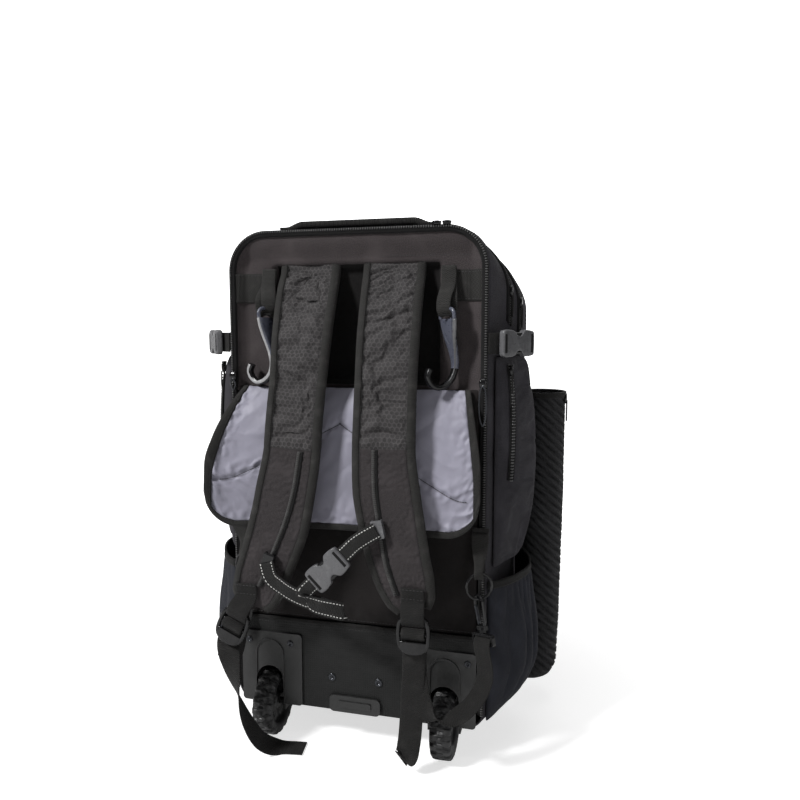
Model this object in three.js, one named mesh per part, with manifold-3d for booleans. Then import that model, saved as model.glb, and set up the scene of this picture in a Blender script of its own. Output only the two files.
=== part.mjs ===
// Wheeled catcher bag, standing on its wheels and skid with the strap bay open.
// Millimetres. X runs to the right seen from the strap side, Z up from the floor, and Y from the
// plane of the back panel into the bag. The finished group is moved to the middle of its footprint.

import * as THREE from 'three';
import { mergeVertices } from 'three/addons/utils/BufferGeometryUtils.js';
import Module from 'manifold-3d';

const wasm = await Module();
wasm.setup();

// Driving sizes

const GAP = 0.4; // clearance where two pieces touch
const WALL = 2.5; // padded cloth wall
const BASE_TOP = 160; // seam between the base and the back panel
const BAY_SILL = 466; // lower edge of the strap bay, where the flap hangs
const BAY_WALL = { y: 10, recess: 12, tuck: 3, thick: 3 };
const RECESS = { half: 102, slope: 5, low: 470, high: 612, ramp: 7 };
const EDGE = { front: -3, back: 1.6, width: 8 }; // zip along the edge of the back
const ZIP = { main: 50, front: 82, half: 5.4, thick: 1.8, start: 7 }; // zips over the top, by depth
const WEBBING = { thick: 1.7, wide: 28, narrow: 20 };
const STRAP_THICK = 12;
const WHEEL = { x: 117, y: 5, radius: 43, width: 27, bore: 4.6, axle: 4, steps: 20 };
const WELL = { half: 19, wall: 2, spring: 76, bottom: 36, front: -4.8, back: 56 };
const HOUSING = { inner: 72, low: 44, high: 141, rimSpring: 112, thick: 2.4 };
const BASE_HANDLE = { z: 55, wide: 68, high: 22, front: -5.8, thick: 3.4 };
const BASE_BOSS = { wide: 44, high: 9, front: -7.4, thick: 2 };
const SKID = { half: 120, rear: 150, front: 186, inset: 7, height: 41.6 };
const SLEEVE = { y: 174, inner: 190.5, wall: 1.8, points: 14 };
const RING = { y: -13, z: 231, radius: 16, wire: 2, turn: 25 };
const SNAP = { turn: -40, tilt: 12, wire: 4.5 };
const HANDLE = { half: 102, y: 30, depth: 28, low: 664.4, rise: 6.4, thick: 3.6 };

// Sections of the main body, one row for each depth, from the strap side to the front; a top corner is
// topRadius high and topReach wide
const BODY = [
  { y: 2, half: 165, shoulder: 0, top: 660, bottom: 42, topRadius: 50, topReach: 50, bottomRadius: 20 },
  { y: 14, half: 170.2, shoulder: 2.1, top: 660.5, bottom: 42, topRadius: 54.2, topReach: 56.3, bottomRadius: 22.1 },
  { y: 25, half: 175, shoulder: 0, top: 661.8, bottom: 42, topRadius: 66, topReach: 70, bottomRadius: 24 },
  { y: 70, half: 187, shoulder: 5, top: 664, bottom: 42, topRadius: 96, topReach: 136, bottomRadius: 28 },
  { y: 110, half: 189.5, shoulder: 8.5, top: 664, bottom: 42, topRadius: 100, topReach: 148, bottomRadius: 30 },
  { y: 130, half: 190, shoulder: 9, top: 664, bottom: 42, topRadius: 100, topReach: 150, bottomRadius: 30 },
  { y: 188, half: 190, shoulder: 8, top: 660, bottom: 42, topRadius: 100, topReach: 150, bottomRadius: 32 },
  { y: 200, half: 183, shoulder: 6, top: 650, bottom: 48, topRadius: 96, topReach: 144, bottomRadius: 34 },
];

// Sections of the front section, from the main body outwards
const FRONT = [
  { y: 200.4, half: 177, shoulder: 6, top: 640, bottom: 62, topRadius: 90, topReach: 130, bottomRadius: 40 },
  { y: 222, half: 181, shoulder: 6, top: 644, bottom: 58, topRadius: 92, topReach: 134, bottomRadius: 42 },
  { y: 244, half: 173, shoulder: 4, top: 634, bottom: 70, topRadius: 88, topReach: 124, bottomRadius: 44 },
  { y: 253, half: 148, shoulder: 2, top: 604, bottom: 102, topRadius: 74, topReach: 100, bottomRadius: 40 },
];

// Where an outline has its points: turns of the two corners, and places up the side
const LOW_TURNS = [-90, -60, -30, 0];
const SIDE_POINTS = [
  { share: 0.4, lean: 0 },
  { share: 0.8, lean: 0 },
  { share: 0.93, lean: 1 },
];
const HIGH_TURNS = [0, 18, 36, 54, 72, 90];
const EDGE_START = LOW_TURNS.length; // outline point where the edge zip starts

// Shoulder straps from the seam down: height, centre, half width and depth of the middle
const STRAP_RIGHT = [
  { z: 611, x: 49, half: 39, y: 15.9 },
  { z: 590, x: 49.3, half: 38.7, y: 4 },
  { z: 560, x: 49.5, half: 38.3, y: -9 },
  { z: 525, x: 49.5, half: 38, y: -21 },
  { z: 477, x: 49.5, half: 37.5, y: -31 },
  { z: 430, x: 49.5, half: 37.7, y: -38 },
  { z: 388, x: 50, half: 38.3, y: -43 },
  { z: 348, x: 54, half: 40.5, y: -47 },
  { z: 313, x: 60.5, half: 40, y: -50 },
  { z: 277, x: 67.5, half: 38.7, y: -50 },
  { z: 241, x: 77, half: 36, y: -48 },
  { z: 218, x: 84, half: 30, y: -46 },
  { z: 207, x: 87, half: 22, y: -45 },
];
const STRAP_LEFT = [
  { z: 611, x: -60, half: 39, y: 15.9 },
  { z: 590, x: -60, half: 39.5, y: 4 },
  { z: 560, x: -60, half: 39, y: -9 },
  { z: 525, x: -60, half: 38, y: -21 },
  { z: 476, x: -61, half: 36, y: -31 },
  { z: 427, x: -64, half: 36, y: -38 },
  { z: 384, x: -66, half: 36.5, y: -43 },
  { z: 341, x: -73, half: 38, y: -47 },
  { z: 303, x: -80, half: 38.5, y: -50 },
  { z: 265, x: -93, half: 36.5, y: -50 },
  { z: 228, x: -107, half: 35, y: -48 },
  { z: 206, x: -116, half: 31, y: -46 },
  { z: 194, x: -120, half: 23, y: -45 },
];

// Rows of the hanging flap from its hinge down: share of the fall, its two edges and its middle
const FLAP_ROWS = [
  { fall: 0, leftX: -146, leftY: -1.4, middleY: -0.4, rightX: 142, rightY: -1.4 },
  { fall: 0.16, leftX: -157, leftY: -24, middleY: -12, rightX: 150, rightY: -15 },
  { fall: 0.38, leftX: -168, leftY: -43, middleY: -16, rightX: 160, rightY: -22 },
  { fall: 0.66, leftX: -177, leftY: -58, middleY: -19, rightX: 170, rightY: -28 },
  { fall: 1, leftX: -172, leftY: -60, middleY: -22, rightX: 168, rightY: -34 },
];
const FLAP = { top: BAY_SILL - 1, bottom: 293, corner: 46, cornerShare: 0.24, thick: 2.6 };
const BINDING = { sideShare: 0.03, endShare: 0.05, thick: 4.4 };

// How far the bottle pocket stands out from the body, by share of its height
const BOTTLE_BULGE = [
  { share: 0, out: 0 },
  { share: 0.12, out: 24 },
  { share: 0.35, out: 41 },
  { share: 0.6, out: 38 },
  { share: 0.85, out: 29 },
  { share: 1, out: 25 },
];
const BOTTLE = { rear: 7, front: 131, bottom: 52, straight: 75, hemRear: 222, hemFront: 230, wall: 1.6 };
const BOTTLE_PLEATS = { count: 5, deep: 2.4 };
const HEM = { height: 12, thick: 3 };
const POCKET = { rear: 16, front: 128, bottom: 246, top: 504, out: 25, wall: 2.2 };
const POCKET_ZIP = { from: 0.07, to: 0.15, low: 0.42, high: 0.96, thick: 1.8 };

// Sleeve rings from the open top down: height and half sizes along X and Y
const SLEEVE_ROWS = [
  { z: 452, rx: 31.5, ry: 37.5 },
  { z: 300, rx: 31.5, ry: 37 },
  { z: 120, rx: 30, ry: 35.5 },
  { z: 60, rx: 29, ry: 34 },
  { z: 43, rx: 24, ry: 28 },
  { z: 38, rx: 15, ry: 18 },
];

// Fence hook, seen along its own shield: forward lean, height, width and thickness
const HOOK_ROWS = [
  { lean: 0, z: 0, wide: 30, thick: 5 },
  { lean: 0, z: -14, wide: 33, thick: 5 },
  { lean: 4, z: -33, wide: 24, thick: 5.5 },
  { lean: 10, z: -54, wide: 14, thick: 6.5 },
  { lean: 12, z: -70, wide: 10, thick: 7 },
  { lean: 7, z: -84, wide: 9, thick: 7 },
  { lean: -3, z: -92, wide: 9, thick: 6.5 },
  { lean: -14, z: -94, wide: 8.5, thick: 6 },
  { lean: -23, z: -89, wide: 8, thick: 6 },
  { lean: -27, z: -80, wide: 8, thick: 6 },
  { lean: -24, z: -72, wide: 8, thick: 7 },
];
const HOOK = { y: -8, slotTop: 4, slot: 7.5, slotWide: 23 };
const HOOKS = { left: { x: -112, top: 565, turn: -105 }, right: { x: 118, top: 563, turn: -45 } };

// Finishes
const CLOTH = { color: 0x262526, roughness: 0.92, metalness: 0 };
const SIDE_CLOTH = { color: 0x2d2d30, roughness: 0.9, metalness: 0 };
const LINING = { color: 0x8f8fa6, roughness: 0.5, metalness: 0 };
const STRETCH = { color: 0x1c1f29, roughness: 0.8, metalness: 0 };
const TAPE = { color: 0x1b1b1c, roughness: 0.85, metalness: 0 };
const RUBBERISED = { color: 0x2f3031, roughness: 0.7, metalness: 0 };
const MOULDED = { color: 0x36383a, roughness: 0.5, metalness: 0 };
const HOOK_PLASTIC = { color: 0x5d6370, roughness: 0.4, metalness: 0 };
const GREY_PLASTIC = { color: 0x8b8d91, roughness: 0.45, metalness: 0 };
const BLACK_PLASTIC = { color: 0x141415, roughness: 0.3, metalness: 0 };
const GUNMETAL = { color: 0x3a3c40, roughness: 0.35, metalness: 0.8 };
const TYRE = { color: 0x18191a, roughness: 0.75, metalness: 0 };

// General tools

const { degToRad, lerp, clamp, smoothstep } = THREE.MathUtils;
const vec = (x, y, z) => new THREE.Vector3(x, y, z);
const ALONG_X = vec(1, 0, 0);
const ALONG_Y = vec(0, 1, 0);
const ALONG_Z = vec(0, 0, 1);
const SIDES = { left: -1, right: 1 };

const spaced = (steps) => Array.from({ length: steps + 1 }, (_, i) => i / steps);
const pulse = (share, power) => Math.sin(Math.PI * clamp(share, 0, 1)) ** power;

// A row of a table at a key between two of its rows
function rowAt(table, key, value) {
  const last = table.length - 1;
  let i = 0;
  while (i < last - 1 && (table[i + 1][key] - value) * (table[last][key] - table[0][key]) < 0) {
    i += 1;
  }
  const share = (value - table[i][key]) / (table[i + 1][key] - table[i][key]);
  const columns = Object.keys(table[i]);
  return Object.fromEntries(columns.map((c) => [c, lerp(table[i][c], table[i + 1][c], share)]));
}

// Only positions, shared corners merged and every face pointing out
function closed(geometry) {
  const bare = new THREE.BufferGeometry();
  bare.setAttribute('position', geometry.getAttribute('position').clone());
  bare.setIndex(geometry.index ? geometry.index.clone() : null);
  const merged = mergeVertices(bare, 1e-4);
  const corners = merged.getAttribute('position');
  const index = merged.index.array;
  const [a, b, c] = [vec(), vec(), vec()];
  let volume = 0;
  for (let i = 0; i < index.length; i += 3) {
    a.fromBufferAttribute(corners, index[i]);
    b.fromBufferAttribute(corners, index[i + 1]);
    c.fromBufferAttribute(corners, index[i + 2]);
    volume += a.dot(b.cross(c));
  }
  if (volume < 0) {
    for (let i = 0; i < index.length; i += 3) {
      [index[i], index[i + 1]] = [index[i + 1], index[i]];
    }
  }
  return merged;
}

function solid(geometry) {
  const body = closed(geometry);
  const vertProperties = new Float32Array(body.getAttribute('position').array);
  const triVerts = new Uint32Array(body.index.array);
  return new wasm.Manifold(new wasm.Mesh({ numProp: 3, vertProperties, triVerts }));
}

function geometryOf(manifold) {
  const mesh = manifold.getMesh();
  const geometry = new THREE.BufferGeometry();
  geometry.setAttribute('position', new THREE.BufferAttribute(mesh.vertProperties, 3));
  geometry.setIndex(new THREE.BufferAttribute(mesh.triVerts, 1));
  return geometry;
}

const fused = (first, ...rest) => geometryOf(rest.reduce((sum, g) => sum.add(solid(g)), solid(first)));
const cut = (body, ...tools) => geometryOf(tools.reduce((sum, g) => sum.subtract(solid(g)), solid(body)));

// Closed body through rings of equal, even point counts, with ends closed straight across or
// the last ring joined to the first
function loft(rings, loop = false) {
  const count = rings[0].length;
  const index = [];
  const quad = (a, b, c, d) => index.push(a, b, c, a, c, d);
  const bands = loop ? rings.length : rings.length - 1;
  for (let r = 0; r < bands; r++) {
    const here = r * count;
    const next = ((r + 1) % rings.length) * count;
    for (let i = 0; i < count; i++) {
      const j = (i + 1) % count;
      quad(here + i, here + j, next + j, next + i);
    }
  }
  const last = (rings.length - 1) * count;
  for (let i = 0; !loop && i < count / 2 - 1; i++) {
    const far = count - 1 - i;
    quad(i, far, far - 1, i + 1);
    quad(last + i, last + i + 1, last + far - 1, last + far);
  }
  const positions = rings.flat().flatMap((p) => [p.x, p.y, p.z]);
  const geometry = new THREE.BufferGeometry();
  geometry.setAttribute('position', new THREE.Float32BufferAttribute(positions, 3));
  geometry.setIndex(index);
  return geometry;
}

function normalOf(surface, u, v) {
  const step = 0.004;
  const along = surface(Math.min(u + step, 1), v).sub(surface(Math.max(u - step, 0), v));
  const up = surface(u, Math.min(v + step, 1)).sub(surface(u, Math.max(v - step, 0)));
  return along.cross(up).normalize();
}

// Sheet on a surface of two shares: it starts lifted off it along the normal and is this thick
function sheet(surface, us, vs, thick, lift = 0) {
  const moved = (u, v, by) => surface(u, v).addScaledVector(normalOf(surface, u, v), by);
  const rings = vs.map((v) => [
    ...us.map((u) => moved(u, v, lift)),
    ...us.map((u) => moved(u, v, lift + thick)).reverse(),
  ]);
  return loft(rings);
}

const FLAT = [[-0.5, -0.5], [0.5, -0.5], [0.5, 0.5], [-0.5, 0.5]];
const PADDED = [
  [-0.5, -0.25], [-0.42, -0.5], [0.42, -0.5], [0.5, -0.25],
  [0.5, 0.25], [0.42, 0.5], [-0.42, 0.5], [-0.5, 0.25],
];
const ROUND = spaced(6).slice(1).map((t) => {
  const turn = 2 * Math.PI * t;
  return [0.5 * Math.cos(turn), 0.5 * Math.sin(turn)];
});

// Body along stations, each with its place, the direction of its width, its width and thickness
function sweep(stations, profile, loop = false) {
  const total = stations.length;
  const rings = stations.map((station, i) => {
    const before = stations[loop ? (i + total - 1) % total : Math.max(i - 1, 0)].at;
    const after = stations[loop ? (i + 1) % total : Math.min(i + 1, total - 1)].at;
    const along = after.clone().sub(before).normalize();
    const normal = along.clone().cross(station.across).normalize();
    const across = normal.clone().cross(along);
    return profile.map(([a, n]) => station.at.clone()
      .addScaledVector(across, a * station.width)
      .addScaledVector(normal, n * station.thick));
  });
  return loft(rings, loop);
}

// Stations on a smooth curve through points, with the width turning from one direction to another
// by a share of the length
function route(points, steps, { from, to = from, by = 1, width, thick }) {
  const curve = new THREE.CatmullRomCurve3(points, false, 'centripetal');
  return spaced(steps).map((t) => ({
    at: curve.getPoint(t),
    across: from.clone().lerp(to, smoothstep(t, 0, by)).normalize(),
    width,
    thick,
  }));
}

// Webbing folded through something: its middle turns about Z and may be narrower than its ends
function loopBand(points, turn, { ends, middle }) {
  const curve = new THREE.CatmullRomCurve3(points, false, 'centripetal');
  const turned = ALONG_X.clone().applyAxisAngle(ALONG_Z, degToRad(turn));
  const stations = spaced(2 * (points.length - 1)).map((t) => {
    const share = smoothstep(0.5 - Math.abs(t - 0.5), 0.05, 0.28);
    return {
      at: curve.getPoint(t),
      across: ALONG_X.clone().lerp(turned, share),
      width: lerp(ends, middle, share),
      thick: WEBBING.thick,
    };
  });
  return sweep(stations, FLAT);
}

const webbing = (points, steps, options) => sweep(
  route(points, steps, { width: WEBBING.wide, thick: WEBBING.thick, ...options }),
  FLAT,
);

// Plate drawn in X and Z, from its face on the strap side back along Y
function plate(shape, faceY, thick, curveSegments = 3) {
  const geometry = new THREE.ExtrudeGeometry(shape, { depth: thick, bevelEnabled: false, curveSegments });
  return geometry.rotateX(Math.PI / 2).translate(0, faceY + thick, 0);
}

function roundedRect(width, height, radius, x = 0, z = 0) {
  const path = new THREE.Shape();
  const [right, top] = [width / 2 - radius, height / 2 - radius];
  path.absarc(x + right, z - top, radius, -Math.PI / 2, 0);
  path.absarc(x + right, z + top, radius, 0, Math.PI / 2);
  path.absarc(x - right, z + top, radius, Math.PI / 2, Math.PI);
  path.absarc(x - right, z - top, radius, Math.PI, 1.5 * Math.PI);
  path.closePath();
  return path;
}

const slot = (width, height, x = 0, z = 0) => new THREE.Path([
  new THREE.Vector2(x - width / 2, z - height / 2),
  new THREE.Vector2(x + width / 2, z - height / 2),
  new THREE.Vector2(x + width / 2, z + height / 2),
  new THREE.Vector2(x - width / 2, z + height / 2),
]);

function block(low, high) {
  const size = high.clone().sub(low);
  const middle = high.clone().add(low).multiplyScalar(0.5);
  return new THREE.BoxGeometry(size.x, size.y, size.z).translate(middle.x, middle.y, middle.z);
}

const mirrored = (geometry, side) => geometry.clone().scale(side, 1, 1);
const placed = (geometry, at, turn = 0, tilt = 0) => geometry.clone()
  .rotateY(degToRad(tilt))
  .rotateZ(degToRad(turn))
  .translate(at.x, at.y, at.z);

const bag = new THREE.Group();

function piece(name, geometry, finish) {
  const body = closed(geometry);
  body.computeVertexNormals();
  const mesh = new THREE.Mesh(body, new THREE.MeshStandardMaterial(finish));
  mesh.name = name;
  bag.add(mesh);
}

// Body shells

// Rounded outline of a section, drawn from the middle of the bottom round to the right
function outline(section, inset = 0) {
  const { y, half, shoulder } = section;
  const side = half - inset;
  const low = section.bottom + inset;
  const high = section.top - inset;
  const lowRadius = section.bottomRadius - inset;
  const highRadius = section.topRadius - inset;
  const reach = section.topReach - inset;
  const lowTurn = (turn) => vec(
    side - lowRadius + lowRadius * Math.cos(degToRad(turn)),
    y,
    low + lowRadius + lowRadius * Math.sin(degToRad(turn)),
  );
  const highTurn = (turn) => vec(
    side + shoulder - reach + reach * Math.cos(degToRad(turn)),
    y,
    high - highRadius + highRadius * Math.sin(degToRad(turn)),
  );
  const sidePoint = ({ share, lean }) => vec(
    side + shoulder * lean,
    y,
    lerp(low + lowRadius, high - highRadius, share),
  );
  const right = [...LOW_TURNS.map(lowTurn), ...SIDE_POINTS.map(sidePoint), ...HIGH_TURNS.map(highTurn)];
  const left = right.map((p) => vec(-p.x, p.y, p.z)).reverse();
  return [vec(0, y, low), ...right, vec(0, y, high), ...left];
}

// How far the body's side stands out at a depth and height
function sideAt(y, z) {
  const right = outline(rowAt(BODY, 'y', y)).slice(EDGE_START);
  const above = Math.max(1, right.findIndex((p) => p.z >= z));
  const [low, high] = [right[above - 1], right[above]];
  return lerp(low.x, high.x, clamp((z - low.z) / (high.z - low.z), 0, 1));
}

// Shell open at its first section and closed at its last
function cup(sections, ringOf, wall, closing) {
  const outer = sections.map((section) => ringOf(section, 0));
  const inner = sections.map((section) => ringOf(section, wall));
  inner[inner.length - 1] = ringOf({ ...sections.at(-1), ...closing }, wall);
  return loft([...inner.reverse(), ...outer]);
}

// Sections of the body with one more at each edge of a zip, so that the tapes lie flat on it
function bodySections() {
  const edges = [ZIP.main, ZIP.front].flatMap((y) => [y - ZIP.half, y + ZIP.half]);
  const added = edges.map((y) => rowAt(BODY, 'y', y));
  return [...BODY, ...added].sort((a, b) => a.y - b.y);
}

function bodyShell() {
  const shell = cup(bodySections(), outline, WALL, { y: BODY.at(-1).y - WALL });
  const reach = WELL.half + WELL.wall + 1;
  const wells = Object.values(SIDES).map((side) => block(
    vec(side * WHEEL.x - reach, -10, 30),
    vec(side * WHEEL.x + reach, WELL.back + 1, WELL.spring + reach + 1),
  ));
  return cut(shell, ...wells);
}

const frontSection = () => cup(FRONT, outline, WALL, { y: FRONT.at(-1).y - WALL });

// Strip between four outlines, from one side over the top to the other side
function overTheTop(outlines, start) {
  const rings = [];
  for (let i = start; i <= outlines[0].length - start; i++) {
    rings.push(outlines.map((line) => line[i]));
  }
  return loft(rings);
}

// Zip tape laid over the body between two depths
function zipOver(rear, front) {
  const [rearRow, frontRow] = [rowAt(BODY, 'y', rear), rowAt(BODY, 'y', front)];
  const [under, over] = [-GAP, -GAP - ZIP.thick];
  return overTheTop(
    [outline(rearRow, under), outline(frontRow, under), outline(frontRow, over), outline(rearRow, over)],
    ZIP.start,
  );
}

// Zip along the edge of the strap side, from the base up and over
function edgeZip() {
  const [front, back] = [{ ...BODY[0], y: EDGE.front }, { ...BODY[0], y: EDGE.back }];
  return overTheTop(
    [outline(front, -GAP), outline(back, -GAP), outline(back, EDGE.width), outline(front, EDGE.width)],
    EDGE_START,
  );
}

piece('body_shell', bodyShell(), SIDE_CLOTH);
piece('front_section', frontSection(), SIDE_CLOTH);
piece('bay_zip', edgeZip(), TAPE);
piece('main_zip', zipOver(ZIP.main - ZIP.half, ZIP.main + ZIP.half), TAPE);
piece('front_zip', zipOver(ZIP.front - ZIP.half, ZIP.front + ZIP.half), TAPE);

// Back panels

const PANEL_HALF = BODY[0].half - EDGE.width - GAP;

function bayPanel() {
  const row = rowAt(BODY, 'y', BAY_WALL.y - BAY_WALL.tuck);
  const inset = WALL + GAP;
  const rounding = row.topRadius - inset;
  const top = row.top - inset;
  const heights = [458, 470, 477, 520, 570, 612, 619, 632, 643, 651, 655];
  const [low, high] = [heights[0], heights.at(-1)];
  const halfAt = (z) => {
    const rise = Math.max(0, z - (top - rounding));
    return row.half - inset - rounding + Math.sqrt(rounding ** 2 - rise ** 2);
  };
  const surface = (u, v) => {
    const z = lerp(low, high, v);
    const x = (2 * u - 1) * halfAt(z);
    const across = 1 - clamp((Math.abs(x) - RECESS.half) / RECESS.slope, 0, 1);
    const fromSill = clamp((z - RECESS.low) / RECESS.ramp, 0, 1);
    const fromSeam = clamp((RECESS.high + RECESS.ramp - z) / RECESS.ramp, 0, 1);
    const tuck = BAY_WALL.tuck * clamp((RECESS.low - z) / (RECESS.low - low), 0, 1);
    return vec(x, BAY_WALL.y + BAY_WALL.recess * across * fromSill * fromSeam - tuck, z);
  };
  const edges = [RECESS.half, RECESS.half + RECESS.slope].map((x) => x / (2 * halfAt(low)));
  const us = [0, 0.5 - edges[1], 0.5 - edges[0], 0.35, 0.5, 0.65, 0.5 + edges[0], 0.5 + edges[1], 1];
  const vs = heights.map((z) => (z - low) / (high - low));
  return sheet(surface, us, vs, -BAY_WALL.thick);
}

function backPanel() {
  const surface = (u, v) => vec(
    (2 * u - 1) * PANEL_HALF,
    1.4 - 4.5 * pulse(u, 0.5) * pulse(v, 0.5),
    lerp(BASE_TOP + 1, BAY_SILL, v),
  );
  return sheet(surface, [0, 0.08, 0.3, 0.5, 0.7, 0.92, 1], [0, 0.12, 0.5, 0.88, 1], -5);
}

function baseCover() {
  const low = BODY[0].bottom + 2;
  const corner = 18;
  const notch = WELL.half + WELL.wall + 2;
  const notchTop = WELL.spring + notch;
  const shape = new THREE.Shape();
  shape.moveTo(PANEL_HALF, BASE_TOP);
  shape.lineTo(-PANEL_HALF, BASE_TOP);
  shape.absarc(-PANEL_HALF + corner, low + corner, corner, Math.PI, 1.4 * Math.PI);
  for (const x of [-WHEEL.x, WHEEL.x]) {
    shape.lineTo(x - notch, low);
    shape.lineTo(x - notch, notchTop);
    shape.lineTo(x + notch, notchTop);
    shape.lineTo(x + notch, low);
  }
  shape.absarc(PANEL_HALF - corner, low + corner, corner, -0.4 * Math.PI, 0);
  shape.closePath();
  return plate(shape, -2, 3.6);
}

function haulHandle() {
  const riseAt = (share) => HANDLE.rise * smoothstep(1 - Math.abs(share), 0.08, 0.3);
  const shares = [-1, -0.9, -0.78, -0.6, -0.3, 0, 0.3, 0.6, 0.78, 0.9, 1];
  const stations = shares.map((share) => ({
    at: vec(share * HANDLE.half, HANDLE.y, HANDLE.low + riseAt(share)),
    across: ALONG_Y,
    width: HANDLE.depth,
    thick: HANDLE.thick,
  }));
  return sweep(stations, FLAT);
}

piece('bay_panel', bayPanel(), CLOTH);
piece('back_panel', backPanel(), CLOTH);
piece('base_cover', baseCover(), RUBBERISED);
piece('haul_handle', haulHandle(), TAPE);

// Flap of the strap bay, hanging lining side out

function flapSurface(u, v) {
  const row = rowAt(FLAP_ROWS, 'fall', v);
  const off = Math.max(0, Math.abs(2 * u - 1) - (1 - FLAP.cornerShare)) / FLAP.cornerShare;
  const bottom = FLAP.bottom + FLAP.corner * (1 - Math.sqrt(Math.max(0, 1 - off ** 2)));
  const bow = 1 - (2 * u - 1) ** 2;
  const edgeY = lerp(row.leftY, row.rightY, u);
  return vec(lerp(row.leftX, row.rightX, u), lerp(edgeY, row.middleY, bow), lerp(FLAP.top, bottom, v));
}

const FLAP_US = [0, 0.02, 0.07, 0.14, 0.28, 0.42, 0.56, 0.7, 0.84, 0.93, 0.98, 1];
const FLAP_VS = [0, 0.16, 0.38, 0.66, 0.84, 1];

function bayFlap() {
  const inner = (u) => lerp(2 * BINDING.sideShare, 1 - 2 * BINDING.sideShare, u);
  const us = FLAP_US.map(inner);
  const vs = FLAP_VS.map((v) => v * (1 - BINDING.endShare - 0.012));
  return sheet(flapSurface, us, vs, -FLAP.thick, FLAP.thick / 2);
}

function flapBinding() {
  const sides = BINDING.sideShare * 2 - 0.012;
  const outer = [
    ...FLAP_VS.map((v) => [0, v]),
    ...FLAP_US.slice(1, -1).map((u) => [u, 1]),
    ...FLAP_VS.map((v) => [1, v]).reverse(),
  ];
  const rings = outer.map(([u, v]) => {
    const inU = lerp(sides, 1 - sides, u);
    const inV = v * (1 - BINDING.endShare);
    const normal = normalOf(flapSurface, clamp(u, 0.05, 0.95), clamp(v, 0.05, 0.95));
    const [out, inside] = [flapSurface(u, v), flapSurface(inU, inV)];
    const half = BINDING.thick / 2;
    return [
      out.clone().addScaledVector(normal, half), inside.clone().addScaledVector(normal, half),
      inside.clone().addScaledVector(normal, -half), out.clone().addScaledVector(normal, -half),
    ];
  });
  return loft(rings);
}

// Slider with a loop pull hanging from it
function zipPull(length) {
  const slider = block(vec(-4.5, -9, -6), vec(4.5, EDGE.front - GAP, 6));
  const loop = spaced(10).slice(1).map((t) => {
    const turn = 2 * Math.PI * t;
    const drop = Math.sin(turn) > 0 ? 6 : length - 4;
    const at = vec(3 * Math.cos(turn), -6.5, 4 * Math.sin(turn) - drop);
    return { at, across: ALONG_Y, width: 2.6, thick: 2.2 };
  });
  return fused(slider, sweep(loop, FLAT, true));
}

piece('bay_flap', bayFlap(), LINING);
piece('flap_binding', flapBinding(), TAPE);
piece('bay_zip_pull_right', placed(zipPull(50), vec(161, 0, 474)), BLACK_PLASTIC);
piece('bay_zip_pull_left', placed(zipPull(18), vec(-160, 0, 478)), BLACK_PLASTIC);

// Shoulder straps and what hangs from them

const RAILS = {
  right: { rows: STRAP_RIGHT, offsets: [-11, -13, -14, -16, -15], heights: [390, 348, 305, 262, 226] },
  left: { rows: STRAP_LEFT, offsets: [12, 12, 9, 5, 2], heights: [383, 345, 308, 262, 222] },
};
const RAIL_WIDE = 5;

function shoulderStrap({ rows, offsets, heights }) {
  const stations = rows.map(({ x, y, z, half }) => ({
    at: vec(x, y, z),
    across: ALONG_X,
    width: 2 * half,
    thick: STRAP_THICK,
  }));
  const pad = sweep(stations, PADDED);
  const rail = heights.map((z, i) => {
    const row = rowAt(rows, 'z', z);
    return {
      at: vec(row.x + offsets[i], row.y - STRAP_THICK / 2 - 1, z),
      across: ALONG_X,
      width: RAIL_WIDE,
      thick: RAIL_WIDE,
    };
  });
  return fused(pad, sweep(rail, ROUND));
}

// Ladder locks: place of the middle bar and how far the lock leans from upright
const LOCK = { wide: 41, high: 46, thick: 4.5, slotWide: 30.5, slotHigh: 13, bar: 4 };
const LOCKS = {
  right: { at: vec(89, -55, 182), tilt: 0, tabX: 88 },
  left: { at: vec(-143, -55, 168), tilt: 24, tabX: -124 },
};

function ladderLock() {
  const shape = roundedRect(LOCK.wide, LOCK.high, 9);
  const offset = (LOCK.bar + LOCK.slotHigh) / 2;
  for (const z of [offset, -offset]) {
    shape.holes.push(slot(LOCK.slotWide, LOCK.slotHigh, 0, z));
  }
  return plate(shape, -LOCK.thick / 2, LOCK.thick);
}

// A point in a lock's own frame: across, out of its face and up it
function inLock(side, across, out, up) {
  const { at, tilt } = LOCKS[side];
  return vec(across, -out, up).applyAxisAngle(ALONG_Y, degToRad(tilt)).add(at);
}
const lockAcross = (side) => ALONG_X.clone().applyAxisAngle(ALONG_Y, degToRad(LOCKS[side].tilt));

// Webbing sewn on the strap's end and taken round the lock's upper bar
function lockTab(side) {
  const rows = RAILS[side].rows;
  const { tabX } = LOCKS[side];
  const [low, high] = [rows.at(-1).z + 14, rows.at(-1).z + 30];
  const face = STRAP_THICK / 2 + WEBBING.thick / 2 + 3 * GAP;
  const points = [
    vec(tabX, rowAt(rows, 'z', high).y - face, high),
    vec(tabX, rowAt(rows, 'z', low).y - face, low),
    inLock(side, 0, 6, 26),
    inLock(side, 0, 5.2, 20),
    inLock(side, 0, 4.6, 16),
    inLock(side, 0, 0, 10.6),
    inLock(side, 0, -4.6, 15),
  ];
  return webbing(points, 10, { from: ALONG_X, to: lockAcross(side), by: 0.4 });
}

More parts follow.
